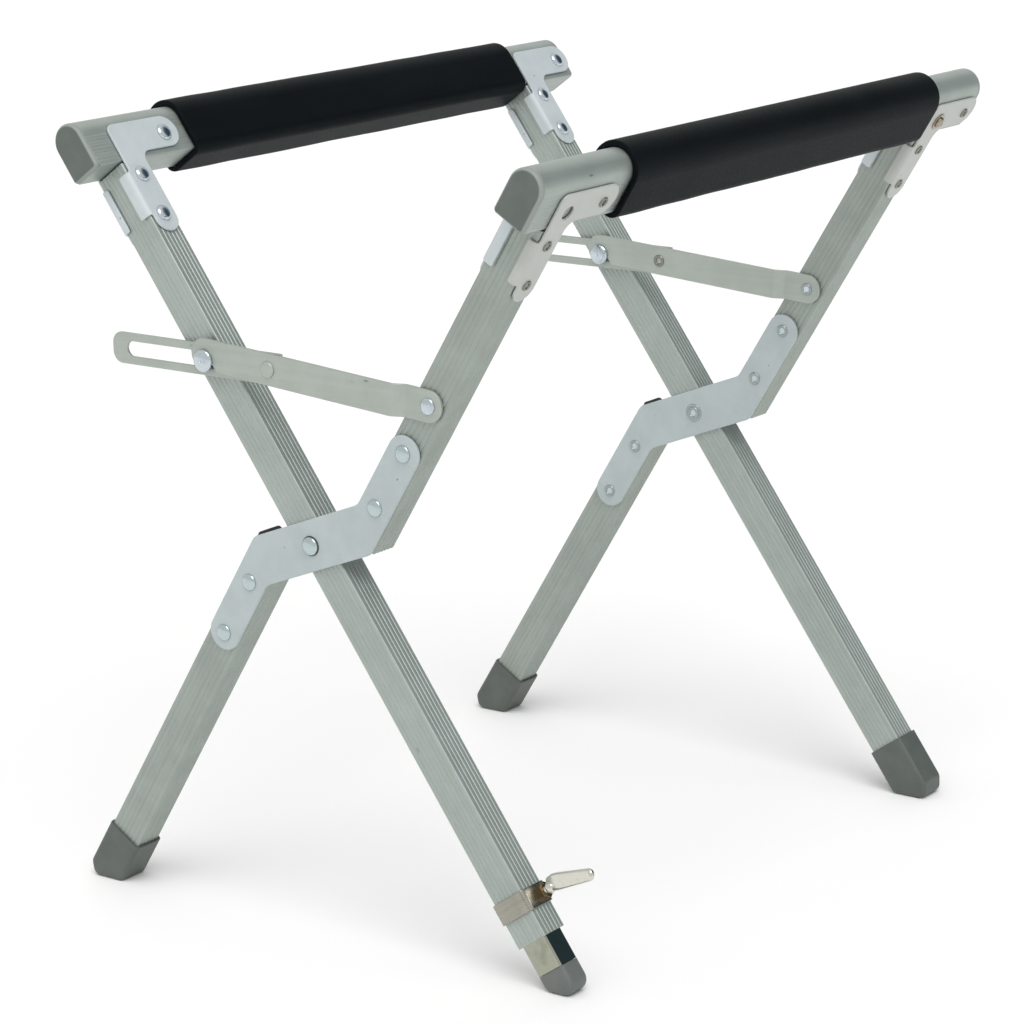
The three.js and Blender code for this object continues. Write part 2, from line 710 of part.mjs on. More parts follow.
function buildFrameA() {
  const frame = frameGroup('frame_a', -LEAN_A);
  frame.add(railGroup('a', 0, RAIL_BOTTOM_A, 1));
  Object.keys(FACE).forEach((side) => {
    const place = sideGroup(side);
    place.add(atLegMiddle(legA(side)));
    place.add(tilted(`link_a_${side}`, 0, STUD_ALONG, barTilt, [lockStud(side), slottedBar(side)]));
    if (side === 'near') {
      const parts = [extensionTube(), footCap(), clampBand(), thumbScrew()];
      parts.forEach((mesh) => place.add(atLegMiddle(mesh)));
    } else {
      place.add(atLegMiddle(boot('boot_a_far', -LEAN_A, 0, BOOT_TOP_A, LEG_A_FAR_END)));
    }
    frame.add(place);
  });
  return frame;
}

function buildFrameB() {
  const frame = frameGroup('frame_b', LEAN_B);
  frame.add(railGroup('b', OFFSET_B, RAIL_BOTTOM_B, -1));
  Object.keys(FACE).forEach((side) => {
    const place = sideGroup(side);
    place.add(atLegMiddle(upperLegB(side), OFFSET_B));
    place.add(atLegMiddle(lowerLegB(side), -OFFSET_B));
    place.add(atLegMiddle(legPlug(side), -OFFSET_B));
    place.add(atLegMiddle(boot(`boot_b_${side}`, LEAN_B, -OFFSET_B, BOOT_TOP_B, LOWER_B_END)));
    place.add(pivotPlate(`pivot_plate_${side}_front`, PLATE_LOW, PLATE_FRONT_HALF_W));
    place.add(pivotPlate(`pivot_plate_${side}_back`, PLATE_HIGH, PLATE_BACK_HALF_W));
    PLATE_RIVETS.forEach((z, i) => {
      place.add(plateRivet(`plate_rivet_${side}_upper_${i + 1}`, OFFSET_B, z));
      place.add(plateRivet(`plate_rivet_${side}_lower_${i + 1}`, -OFFSET_B, -z));
    });
    place.add(pivotRivet(`pivot_rivet_${side}`));
    const link = [lockArm(side), armRivet(side), linkRivet(side)];
    place.add(tilted(`link_b_${side}`, armPivot.x, armPivot.z, armTilt, link));
    frame.add(place);
  });
  return frame;
}

const sawhorse = new THREE.Group();
sawhorse.name = 'sawhorse';
sawhorse.add(buildFrameA(), buildFrameB());

export default sawhorse;
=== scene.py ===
"""Looks for the folding work stand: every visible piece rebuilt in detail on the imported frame.

Shapes are worked out in millimetres, in the axes of the frame or leg they belong to, and scaled to
metres when they are placed.
"""

import json
import math

import bmesh
import bpy
from mathutils import Matrix, Vector, noise
from mathutils.geometry import tessellate_polygon


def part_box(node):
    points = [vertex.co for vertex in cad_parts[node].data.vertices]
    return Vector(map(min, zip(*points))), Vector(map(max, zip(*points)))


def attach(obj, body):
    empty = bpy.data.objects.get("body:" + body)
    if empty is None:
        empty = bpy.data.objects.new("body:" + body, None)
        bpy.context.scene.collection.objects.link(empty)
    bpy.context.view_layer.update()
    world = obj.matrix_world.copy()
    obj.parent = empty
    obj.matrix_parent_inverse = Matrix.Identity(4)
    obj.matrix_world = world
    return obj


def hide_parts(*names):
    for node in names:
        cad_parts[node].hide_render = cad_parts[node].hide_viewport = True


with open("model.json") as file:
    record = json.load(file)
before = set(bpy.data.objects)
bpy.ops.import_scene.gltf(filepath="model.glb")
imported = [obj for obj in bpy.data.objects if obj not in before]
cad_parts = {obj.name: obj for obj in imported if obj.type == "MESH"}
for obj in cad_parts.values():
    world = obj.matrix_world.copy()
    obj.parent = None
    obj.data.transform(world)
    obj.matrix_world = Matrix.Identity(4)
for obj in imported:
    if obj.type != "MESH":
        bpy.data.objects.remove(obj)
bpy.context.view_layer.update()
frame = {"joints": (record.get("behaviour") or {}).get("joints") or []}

# ---- places taken from the frame, in millimetres -------------------------------------------

JOINTS = {joint["name"]: joint for joint in frame["joints"]}


def joint_at(name):
    return Vector(JOINTS[name]["pos_m"]) * 1000


PIVOT = joint_at("fold")
STUD = joint_at("lock_stud_near_hinge") - PIVOT
ARM_PIVOT = joint_at("lock_arm_near_hinge") - PIVOT
OFFSET_B = 28.9
STUD_ALONG = math.hypot(STUD.x, STUD.z)
ARM_ALONG = math.sqrt(ARM_PIVOT.x ** 2 + ARM_PIVOT.z ** 2 - OFFSET_B ** 2)
LEAN_A = math.atan2(STUD.x, STUD.z)
LEAN_B = math.atan2(ARM_PIVOT.x, ARM_PIVOT.z) - math.atan2(OFFSET_B, ARM_ALONG)
FACE = {side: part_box(f"leg_a_{side}")[0][1] * 1000 for side in ("near", "far")}
FLOOR = -PIVOT.z


def leaning(lean):
    return Matrix.Translation((PIVOT.x, 0, PIVOT.z)) @ Matrix.Rotation(lean, 4, "Y")


FRAME_A = leaning(LEAN_A)
FRAME_B = leaning(LEAN_B)

# ---- sizes, in millimetres -----------------------------------------------------------------

GAP = 0.3
LEG_W, LEG_D, LEG_WALL, LEG_CORNER = 26, 22, 1.6, 2
LEG_EDGE = 1.3
LEG_RIB_DEPTH = {"a": 0.36, "b": 0.4}
LEG_A_END = {"near": -295.5, "far": -317}
UPPER_B_END, LOWER_B_TOP, LOWER_B_END = 27, -27, -325
RAIL_BOTTOM = {"a": 287, "b": 291}
RAIL_W, RAIL_H, RAIL_WALL = 26, 38.5, 1.8
RAIL_HALF = 269.25
CAP_T, CAP_PLUG = 4, 6
LEG_TO_RAIL = 1.2
PAD_ENDS = (-177.25, 204.25)
PAD_T, PAD_CORNER = 4.6, 8
BRACKET_T = 1.8
BRACKET_ARM_LOW, BRACKET_TOP, BRACKET_REACH = 4, 27, 65
TONGUE_EDGE, TONGUE_W, TONGUE_END = 2, 22, -56
LIP = {"high": -9, "low": -42, "inner": 5.8, "outer": 8}
BRACKET_RIVETS = ((10.8, -12.4), (10.8, -42.8))
RAIL_RIVET = (51, 14.4)
SPARE_HOLE = (15.5, 12)
PLATE_T = 2.5
PLATE_END = 114.8
PLATE_HALF_W = {"front": 12.6, "back": 10.8}
PLATE_BEND, PLATE_MITRE = 38, 0.9
PLATE_RIVETS = (57, 102.8)
LINK_W = 21.5
ARM_TO_RIVET, ARM_RISE, ARM_TIP = 127.9, 3, 193.6
ARM_T, ARM_OUT, JOGGLE = 2.4, 5.3, (19, 26)
BAR_T, BAR_OUT = 2.3, 2.6
NOTCH_R, NOTCH_SLOPE = 4.6, 50
BAR_TAIL, BAR_RIVET_END, SLOT_W, SLOT = 83.6, 9.5, 10.4, (-70.8, 16.9)
BOOT_W, BOOT_D = 30, 25.5
BOOT_TOP = {"a": -291, "b": -299}
BOOT_ROOM = 18
INNER_W, INNER_D, INNER_TOP = 22, 18, -165
INNER_WALL = 1.4
FOOT_TOP, FOOT_W, FOOT_D = -317.5, 23, 19
BAND_HIGH, BAND_LOW, BAND_T = -263, -277.5, 1.5
NUT_R, NUT_H = 6, 5
SCREW_R, SCREW_ACROSS, SCREW_START, SCREW_NECK, SCREW_TIP = 3.4, 5.2, 11.3, 22.5, 62
SCREW_PITCH = 1.25
SPADE_RISE, SPADE_DROOP, SPADE_ROLL = -3, 14, -15
SPADE_T = 4.2

# ---- outlines ------------------------------------------------------------------------------


def outline(corners, step=math.radians(7)):
    """Closed outline through corners (x, y, radius)."""
    points = []
    for i, (x, y, radius) in enumerate(corners):
        here = Vector((x, y))
        if radius == 0:
            points.append(here)
            continue
        back = (Vector(corners[i - 1][:2]) - here).normalized()
        ahead = (Vector(corners[(i + 1) % len(corners)][:2]) - here).normalized()
        half = back.angle(ahead) / 2
        centre = here + (back + ahead).normalized() * radius / math.sin(half)
        start = here + back * radius / math.tan(half) - centre
        end = here + ahead * radius / math.tan(half) - centre
        sweep = math.atan2(start.cross(end), start.dot(end))
        count = max(2, round(abs(sweep) / step))
        for k in range(count + 1):
            turn = Matrix.Rotation(sweep * k / count, 2)
            points.append(centre + turn @ start)
    return [p for i, p in enumerate(points) if (p - points[i - 1]).length > 1e-4]


def box_outline(width, depth, corner):
    x, y = width / 2, depth / 2
    return outline([(-x, -y, corner), (x, -y, corner), (x, y, corner), (-x, y, corner)])


def rail_outline(grow, corner):
    """Flat bottom and sides under a half-round top."""
    x = RAIL_W / 2 + grow
    top = RAIL_H + grow
    return outline([(-x, -grow, corner), (x, -grow, corner), (x, top, x), (-x, top, x)])


def grooves(start, end, count, pitch, mouth, floor, depth):
    """Points of evenly spaced grooves cut to the left of the way from start to end."""
    along = (end - start).normalized()
    inward = Vector((-along.y, along.x))
    middle = (start + end) / 2
    points = []
    for i in range(count):
        centre = middle + along * pitch * (i - (count - 1) / 2)
        for shift, deep in ((-mouth, 0), (-floor, depth), (floor, depth), (mouth, 0)):
            points.append(centre + along * shift / 2 + inward * deep)
    return points


def cut_grooves(points, sides):
    """Outline with grooves put into its straight stretches: {heading in degrees: groove sizes}."""
    result = []
    for i, here in enumerate(points):
        result.append(here)
        ahead = points[(i + 1) % len(points)]
        heading = round(math.degrees(math.atan2(ahead.y - here.y, ahead.x - here.x))) % 360
        sizes = sides.get(heading)
        if sizes and (ahead - here).length > 15:
            result.extend(grooves(here, ahead, *sizes))
    return result


def leg_outline(rib_depth):
    """Faces across the frame carry shallow flutes, the other two carry ribs between V grooves."""
    flutes = (6, 3.6, 1.8, 0.7, 0.3)
    ribs = (5, 3.5, 1.6, 0.3, rib_depth)
    sides = {0: flutes, 90: ribs, 180: flutes, 270: ribs}
    return cut_grooves(box_outline(LEG_W, LEG_D, LEG_EDGE), sides)


def circle(x, y, radius, count=32):
    turns = [2 * math.pi * k / count for k in range(count)]
    return [Vector((x + radius * math.cos(a), y + radius * math.sin(a))) for a in turns]


def area(points):
    return sum(a.cross(b) for a, b in zip(points, points[1:] + points[:1])) / 2


def inset(points, distance):
    """Closed outline moved to its left by a distance."""
    moved = []
    for i, here in enumerate(points):
        back = (here - points[i - 1]).normalized()
        ahead = (points[(i + 1) % len(points)] - here).normalized()
        side = Vector((-back.y - ahead.y, back.x + ahead.x)).normalized()
        moved.append(here + side * distance / max(0.4, side.dot(Vector((-back.y, back.x)))))
    return moved


# ---- meshes --------------------------------------------------------------------------------


def slab(points, low, high, edge=0.4, far_edge=None, holes=(), cuts=()):
    """Outline in X and Y from low to high along Z, with rounded edges and extra lines across X."""
    loops = [points if area(points) > 0 else points[::-1]]
    loops += [hole if area(hole) < 0 else hole[::-1] for hole in holes]
    last = edge if far_edge is None else far_edge
    steps = 5
    turns = [math.pi / 2 * k / steps for k in range(steps + 1)]
    levels = [(edge * (1 - math.sin(a)), low + edge * (1 - math.cos(a))) for a in turns]
    levels += [(last * (1 - math.sin(a)), high - last * (1 - math.cos(a))) for a in reversed(turns)]
    mesh = bmesh.new()
    ends = [[], []]
    for loop in loops:
        rings = []
        for shift, z in levels:
            rings.append([mesh.verts.new((p.x, p.y, z)) for p in inset(loop, shift)])
        for lower, upper in zip(rings, rings[1:]):
            for i in range(len(loop)):
                mesh.faces.new((lower[i - 1], lower[i], upper[i], upper[i - 1]))
        ends[0].append(rings[0])
        ends[1].append(rings[-1])
    for rings in ends:
        flat = [vert for ring in rings for vert in ring]
        for triangle in tessellate_polygon([[vert.co for vert in ring] for ring in rings]):
            mesh.faces.new([flat[i] for i in triangle])
    for x in cuts:
        cut_across(mesh, (x, 0, 0), (1, 0, 0))
    bmesh.ops.recalc_face_normals(mesh, faces=mesh.faces)
    return mesh


def cut_across(mesh, point, normal, **options):
    """Adds an edge wherever a plane crosses the mesh."""
    geom = mesh.verts[:] + mesh.edges[:] + mesh.faces[:]
    return bmesh.ops.bisect_plane(mesh, geom=geom, plane_co=point, plane_no=normal, **options)


ALONG_X = Matrix(((0, 0, 1, 0), (1, 0, 0, 0), (0, 1, 0, 0), (0, 0, 0, 1)))
ALONG_Y = Matrix(((1, 0, 0, 0), (0, 0, -1, 0), (0, 1, 0, 0), (0, 0, 0, 1)))


def slab_y(points, low, high, **options):
    """Outline in X and Z, thickness along Y."""
    mesh = slab(points, -high, -low, **options)
    mesh.transform(ALONG_Y)
    return mesh


def lathe(profile, sides=48):
    """Turned shape about Z from (radius, z) points that start and end on the axis."""
    mesh = bmesh.new()
    rings = []
    for radius, z in profile:
        if radius == 0:
            rings.append([mesh.verts.new((0, 0, z))] * sides)
            continue
        turns = [2 * math.pi * k / sides for k in range(sides)]
        around = [(radius * math.cos(a), radius * math.sin(a), z) for a in turns]
        rings.append([mesh.verts.new(point) for point in around])
    for lower, upper in zip(rings, rings[1:]):
        for k in range(sides):
            corners = []
            for vert in (lower[k - 1], lower[k], upper[k], upper[k - 1]):
                if vert not in corners:
                    corners.append(vert)
            mesh.faces.new(corners)
    bmesh.ops.recalc_face_normals(mesh, faces=mesh.faces)
    return mesh


def arc(centre, radius, start, end, count=8):
    """(radius, z) points along an arc, angles in degrees."""
    points = []
    for k in range(count + 1):
        angle = math.radians(start + (end - start) * k / count)
        points.append((centre[0] + radius * math.cos(angle), centre[1] + radius * math.sin(angle)))
    return points


def joined(first, *others):
    """One mesh from several."""
    for other in others:
        data = bpy.data.meshes.new("part")
        other.to_mesh(data)
        first.from_mesh(data)
        bpy.data.meshes.remove(data)
        other.free()
    return first


def cut_away(mesh, tool):
    """Takes one mesh out of another with an exact boolean."""
    things = []
    for part in (mesh, tool):
        data = bpy.data.meshes.new("blank")
        part.to_mesh(data)
        part.free()
        things.append(bpy.data.objects.new("blank", data))
        bpy.context.scene.collection.objects.link(things[-1])
    modifier = things[0].modifiers.new("cut", "BOOLEAN")
    modifier.operation = "DIFFERENCE"
    modifier.object = things[1]
    result = bmesh.new()
    result.from_object(things[0], bpy.context.evaluated_depsgraph_get())
    for thing in things:
        data = thing.data
        bpy.data.objects.remove(thing)
        bpy.data.meshes.remove(data)
    return result


def moved(mesh, matrix):
    mesh.transform(matrix)
    return mesh


def at(x=0, y=0, z=0):
    return Matrix.Translation((x, y, z))


def facing(axis, sign=1):
    """Turns a shape lathed about Z so that its top looks along X or Y."""
    if axis == "X":
        return Matrix.Rotation(sign * math.pi / 2, 4, "Y")
    return Matrix.Rotation(-sign * math.pi / 2, 4, "X")


# ---- materials -----------------------------------------------------------------------------


class Shader:
    """A node tree with short calls for making and joining nodes."""

    def __init__(self, name):
        self.material = bpy.data.materials.new(name)
        self.material.use_nodes = True
        self.tree = self.material.node_tree
        self.surface = self.tree.nodes["Principled BSDF"]

    def node(self, kind, settings=None, **inputs):
        node = self.tree.nodes.new(kind)
        for key, value in (settings or {}).items():
            setattr(node, key, value)
        for key, value in inputs.items():
            self.join(node, key.replace("_", " "), value)
        return node

    def join(self, node, socket, value):
        """Sets a socket to a number, or links it from a node's first output or a given output."""
        target = node.inputs[socket]
        if isinstance(value, bpy.types.Node):
            self.tree.links.new(value.outputs[0], target)
        elif isinstance(value, bpy.types.NodeSocket):
            self.tree.links.new(value, target)
        else:
            target.default_value = value

    def place(self, stretch=(1, 1, 1), turn=0):
        """Object coordinates in metres, turned about Y and then squeezed along each axis."""
        source = self.node("ShaderNodeTexCoord")
        return self.node(
            "ShaderNodeMapping",
            {"vector_type": "TEXTURE"},
            Vector=source.outputs["Object"],
            Rotation=(0, turn, 0),
            Scale=stretch,
        )

    def noise(self, place, scale, detail=3, rough=0.5):
        return self.node(
            "ShaderNodeTexNoise", Vector=place, Scale=scale, Detail=detail, Roughness=rough
        )

    def maths(self, operation, *values):
        node = self.node("ShaderNodeMath", {"operation": operation})
        for index, value in enumerate(values):
            self.join(node, index, value)
        return node

    def ramp(self, source, low, high, dark, light):
        """Maps a value between low and high onto dark to light."""
        return self.node(
            "ShaderNodeMapRange",
            {"data_type": "FLOAT", "interpolation_type": "SMOOTHSTEP"},
            Value=source,
            From_Min=low,
            From_Max=high,
            To_Min=dark,
            To_Max=light,
        )

    def tint(self, factor, first, second):
        mix = self.node("ShaderNodeMix", {"data_type": "RGBA"})
        self.join(mix, "Factor", factor)
        for socket, colour in ((mix.inputs[6], first), (mix.inputs[7], second)):
            socket.default_value = (*colour, 1)
        return mix.outputs[2]

    def specks(self, place, scale, share):
        """A few small marks: near 1 in the cores of scattered cells, 0 elsewhere."""
        cells = self.node("ShaderNodeTexVoronoi", {"feature": "F1"}, Vector=place, Scale=scale)
        chosen = self.node("ShaderNodeSeparateColor")
        self.join(chosen, "Color", cells.outputs["Color"])
        core = self.ramp(cells.outputs["Distance"], 0.08, 0.3, 1.0, 0.0)
        pick = self.ramp(chosen.outputs["Red"], 1 - share, 1 - share * 0.8, 0.0, 1.0)
        return self.maths("MULTIPLY", core, pick)

    def layer(self, factor, below, colour):
        """Another colour laid over one that comes from a node."""
        mix = self.node("ShaderNodeMix", {"data_type": "RGBA"})
        self.join(mix, "Factor", factor)
        self.tree.links.new(below, mix.inputs[6])
        mix.inputs[7].default_value = (*colour, 1)
        return mix.outputs[2]

    def bump(self, height, strength, distance):
        return self.node("ShaderNodeBump", Height=height, Strength=strength, Distance=distance)


def srgb(red, green, blue):
    """Linear colour from 0-255 screen values."""
    def linear(value):
        value /= 255
        return value / 12.92 if value <= 0.04045 else ((value + 0.055) / 1.055) ** 2.4
    return (linear(red), linear(green), linear(blue))


def shade(shader, colour, rough, bump, metallic):
    shader.join(shader.surface, "Base Color", colour)
    shader.join(shader.surface, "Roughness", rough)
    shader.join(shader.surface, "Normal", bump)
    shader.surface.inputs["Metallic"].default_value = metallic
    return shader.material


def brushed(
    name, first, second, turn=0, axis=2, rough=(0.42, 0.54), metallic=0.6, grain=1.0, marks=0.005
):
    """Drawn metal: fine lines along one axis, soft blotches, faint streaks and a few nicks."""
    shader = Shader(name)
    stretch = [1, 1, 1]
    stretch[axis] = 300
    lines = shader.noise(shader.place(stretch, turn), 1500, 3, 0.6)
    stretch[axis] = 70
    streaks = shader.noise(shader.place(stretch, turn), 260, 3, 0.55)
    blotch = shader.noise(shader.place(), 42, 4, 0.6)
    both = shader.maths("MULTIPLY_ADD", streaks, 0.6, blotch)
    colour = shader.tint(shader.ramp(both, 0.6, 1.0, 0, 1), first, second)
    stretch[axis] = 3
    nicks = shader.specks(shader.place(stretch, turn), 260, marks)
    worn = [channel * 0.45 for channel in first]
    colour = shader.layer(nicks, colour, worn)
    rough = shader.ramp(lines, 0.3, 0.7, *rough)
    return shade(shader, colour, rough, shader.bump(lines, 0.09 * grain, 0.0001), metallic)


def painted(name, first, second, rough=0.38, marks=0.01):
    """Baked paint over pressed steel: faint orange peel, soft mottling and the odd chip."""
    shader = Shader(name)
    peel = shader.noise(shader.place(), 900, 2, 0.5)
    blotch = shader.noise(shader.place(), 45, 4, 0.6)
    colour = shader.tint(shader.ramp(blotch, 0.3, 0.7, 0, 1), first, second)
    chips = shader.specks(shader.place(), 300, marks)
    colour = shader.layer(chips, colour, srgb(96, 98, 96))
    shader.surface.inputs["Coat Weight"].default_value = 0.2
    shader.surface.inputs["Coat Roughness"].default_value = 0.3
    rough = shader.ramp(blotch, 0.3, 0.7, rough - 0.05, rough + 0.07)
    return shade(shader, colour, rough, shader.bump(peel, 0.1, 0.0002), 0)


def plated(name, first, second, rough=(0.1, 0.22), ripple=0.15, tarnish=0.4):
    """Bright plating, mottled and slightly rippled, with dull patches."""
    shader = Shader(name)
    crystals = shader.noise(shader.place(), 420, 4, 0.6)
    wave = shader.noise(shader.place(), 160, 2, 0.5)
    patch = shader.noise(shader.place(), 90, 5, 0.65)
    colour = shader.tint(crystals, first, second)
    dull = [channel * 0.6 for channel in first]
    colour = shader.layer(shader.ramp(patch, 0.5, 0.75, 0, tarnish), colour, dull)
    rough = shader.ramp(patch, 0.35, 0.7, *rough)
    return shade(shader, colour, rough, shader.bump(wave, ripple, 0.0004), 1)


def moulded(name, first, second, rough=(0.42, 0.56), grain=0.2, dust=0.0, rim_highlight=0.0):
    """Moulded plastic: fine spark-eroded grain, paler scuffs and dust, and a painted highlight laid
    pale on faces that turn away from Y.
    """
    shader = Shader(name)
    fine = shader.noise(shader.place(), 1600, 3, 0.6)
    blotch = shader.noise(shader.place(), 60, 4, 0.6)
    colour = shader.tint(shader.ramp(blotch, 0.3, 0.7, 0, 1), first, second)
    scuffs = shader.noise(shader.place((5, 1, 1), 0.6), 190, 5, 0.7)
    pale = [channel + (0.45 - channel) * 0.5 for channel in second]
    colour = shader.layer(shader.ramp(scuffs, 0.6, 0.78, 0, dust), colour, pale)
    if rim_highlight:
        # Painted highlight: faces whose normal turns away from Y, such as the rims, are laid paler.
        facing_y = shader.node("ShaderNodeVectorMath", {"operation": "ABSOLUTE"})
        shader.join(facing_y, 0, shader.node("ShaderNodeTexCoord").outputs["Normal"])
        across = shader.node("ShaderNodeSeparateXYZ", Vector=facing_y)
        edge = shader.ramp(across.outputs["Y"], 0.8, 0.98, rim_highlight, 0)
        colour = shader.layer(edge, colour, srgb(176, 182, 176))
    rough = shader.ramp(fine, 0.3, 0.7, *rough)
    return shade(shader, colour, rough, shader.bump(fine, grain, 0.0001), 0)


def foam_skin(name):
    """Closed-cell foam: smooth dark skin, pin-prick cells and long shallow dents."""
    shader = Shader(name)
    place = shader.place()
    cells = shader.node("ShaderNodeTexVoronoi", {"feature": "F1"}, Vector=place, Scale=1500)
    dents = shader.noise(shader.place((1, 4, 1)), 30, 3, 0.5)
    fine = shader.noise(shader.place(), 700, 4, 0.6)
    both = shader.maths("MULTIPLY_ADD", dents, 2.5, cells.outputs["Distance"])
    colour = shader.tint(shader.ramp(dents, 0.3, 0.7, 0, 1), srgb(6, 10, 12), srgb(11, 16, 18))
    shader.surface.inputs["Sheen Weight"].default_value = 0.015
    shader.surface.inputs["Sheen Roughness"].default_value = 0.4
    shader.surface.inputs["Specular IOR Level"].default_value = 0.08
    shader.surface.inputs["Specular Tint"].default_value = (0.75, 0.93, 1, 1)
    rough = shader.ramp(fine, 0.3, 0.7, 0.5, 0.6)
    return shade(shader, colour, rough, shader.bump(both, 0.1, 0.0003), 0)


ALUMINIUM = (srgb(163, 171, 166), srgb(170, 178, 174))
# Frame B's legs take a darker copy of the leg aluminium: painted shade.
SHADED_ALUMINIUM = (srgb(153, 160, 154), srgb(160, 168, 162))
LEG_A_METAL = brushed("aluminium_leg_a", *ALUMINIUM, turn=LEAN_A)
LEG_B_METAL = brushed("aluminium_leg_b", *SHADED_ALUMINIUM, turn=LEAN_B)
RAIL_METAL = brushed("aluminium_rail", *ALUMINIUM, axis=1)
LINK_GREY = (srgb(167, 174, 167), srgb(174, 181, 174))
LINK_METAL = brushed("link_strip", *LINK_GREY, axis=0, grain=0.4, marks=0.03)
BRACKET_PAINT = painted("bracket_paint", srgb(188, 196, 199), srgb(195, 203, 206))
# A darker, warmer copy of the bracket paint for frame B's outer brackets: painted shade.
SHADED_BRACKET_PAINT = painted("shaded_bracket_paint", srgb(177, 180, 175), srgb(184, 187, 182))
PLATE_PAINT = painted("plate_paint", srgb(169, 179, 181), srgb(177, 187, 189))
ZINC = plated("zinc", srgb(188, 199, 207), srgb(206, 214, 219), rough=(0.15, 0.27))
DULL_ZINC = plated("dull_zinc", srgb(132, 132, 124), srgb(150, 150, 142), rough=(0.32, 0.45))
RIVET_GREY = (srgb(180, 194, 197), srgb(192, 204, 206))
RIVET_METAL = plated("painted_rivet", *RIVET_GREY, rough=(0.2, 0.3), tarnish=0.1)
TAIL_GREY = (srgb(158, 167, 167), srgb(170, 179, 179))
TAIL_PAINT = plated("painted_tail", *TAIL_GREY, rough=(0.35, 0.46), tarnish=0.2)
WARM_GREY = (srgb(157, 159, 143), srgb(171, 172, 157))
CHROME = plated("chrome", *WARM_GREY, rough=(0.05, 0.14), ripple=0.1, tarnish=0.45)
NICKEL = plated("nickel", srgb(205, 203, 194), srgb(220, 218, 208), rough=(0.08, 0.16), ripple=0.08)
BAND_GREY = (srgb(150, 147, 138), srgb(166, 162, 153))
BAND_METAL = brushed(
    "band_steel", *BAND_GREY, turn=LEAN_A, axis=0, rough=(0.2, 0.34), metallic=1, grain=0.3
)
YELLOW_ZINC = plated("yellow_zinc", srgb(112, 96, 66), srgb(140, 122, 90), rough=(0.2, 0.32))
SCREW_METAL = plated("rail_screw", srgb(148, 138, 124), srgb(176, 165, 150), rough=(0.14, 0.26))
FOAM = foam_skin("foam_skin")
# The rail caps carry a painted highlight on their rims.
CAP_PLASTIC = moulded("rail_cap_plastic", srgb(88, 95, 91), srgb(95, 102, 98), dust=0.1, rim_highlight=0.5)
BOOT_GREY = (srgb(80, 86, 82), srgb(88, 94, 90))
BOOT_PLASTIC = moulded("boot_plastic", *BOOT_GREY, rough=(0.38, 0.5), dust=0.2)
FOOT_PLASTIC = moulded("foot_cap_plastic", srgb(94, 99, 97), srgb(102, 107, 105), dust=0.1)
BLACK_PLASTIC = moulded("black_plastic", srgb(18, 20, 22), srgb(28, 30, 32))
# Dark brown standing for the shade round the near pivot rivet's head: painted shade.
PAINTED_SHADE_RING = moulded("painted_shade_ring", srgb(48, 44, 40), srgb(62, 58, 52))

# ---- placing pieces ------------------------------------------------------------------------

SHARP_RIBS = 25


def piece(name, mesh, place, body, material, nodes=(), sharp=38):
    """Turns a mesh in millimetres into an object that rides on a body and stands for CAD nodes."""
    mesh.transform(Matrix.Scale(0.001, 4) @ place)
    data = bpy.data.meshes.new(name)
    mesh.to_mesh(data)
    mesh.free()
    data.shade_smooth()
    data.set_sharp_from_angle(angle=math.radians(sharp))
    data.materials.append(material)
    thing = bpy.data.objects.new(name, data)
    bpy.context.scene.collection.objects.link(thing)
    weighted = thing.modifiers.new("weighted", "WEIGHTED_NORMAL")
    weighted.keep_sharp = True
    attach(thing, body)
    if nodes:
        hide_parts(*nodes)
    return thing


def side_place(frame_matrix, side):
    """The axes of a frame, moved to the -Y face of its near or far leg."""
    return frame_matrix @ at(y=FACE[side])


# ---- legs ----------------------------------------------------------------------------------


def leg_piece(name, letter, low, high, place, metal):
    """Extruded tube standing for one leg, or for one half of a cranked leg."""
    inside = box_outline(LEG_W - 2 * LEG_WALL, LEG_D - 2 * LEG_WALL, 1)
    tube = slab(leg_outline(LEG_RIB_DEPTH[letter]), low, high, edge=0.12, holes=[inside])
    body = f"frame_{letter}"
    piece(f"{name}_tube", tube, place, body, metal, [name], SHARP_RIBS)


def build_legs():
    middle = LEG_D / 2
    for side in FACE:
        place_a = side_place(FRAME_A, side) @ at(y=middle)
        place_b = side_place(FRAME_B, side) @ at(y=middle)
        name = f"leg_a_{side}"
        leg_piece(name, "a", LEG_A_END[side], RAIL_BOTTOM["a"] - LEG_TO_RAIL, place_a, LEG_A_METAL)
        name = f"upper_leg_b_{side}"
        place = place_b @ at(x=OFFSET_B)
        leg_piece(name, "b", UPPER_B_END, RAIL_BOTTOM["b"] - LEG_TO_RAIL, place, LEG_B_METAL)
        name = f"lower_leg_b_{side}"
        place = place_b @ at(x=-OFFSET_B)
        leg_piece(name, "b", LOWER_B_END, LOWER_B_TOP, place, LEG_B_METAL)
        name = f"leg_plug_b_{side}"
        cover = box_outline(LEG_W - 0.4, LEG_D - 0.4, LEG_CORNER)
        plug = slab(cover, LOWER_B_TOP + GAP, LOWER_B_TOP + 4, edge=1.2)
        stub = slab(box_outline(LEG_W - 4, LEG_D - 4, 1), LOWER_B_TOP - 10, LOWER_B_TOP + 1)
        both = joined(plug, stub)
        piece(f"{name}_cap", both, place, "frame_b", BLACK_PLASTIC, [name])


# ---- rails ---------------------------------------------------------------------------------


def rail():
    ribs = (9, 2.35, 1.4, 0.5, 0.22)
    outside = cut_grooves(rail_outline(0, 1.5), {90: ribs, 270: ribs})
    return slab_y(outside, -RAIL_HALF, RAIL_HALF, edge=0.15, holes=[rail_outline(-RAIL_WALL, 1)])


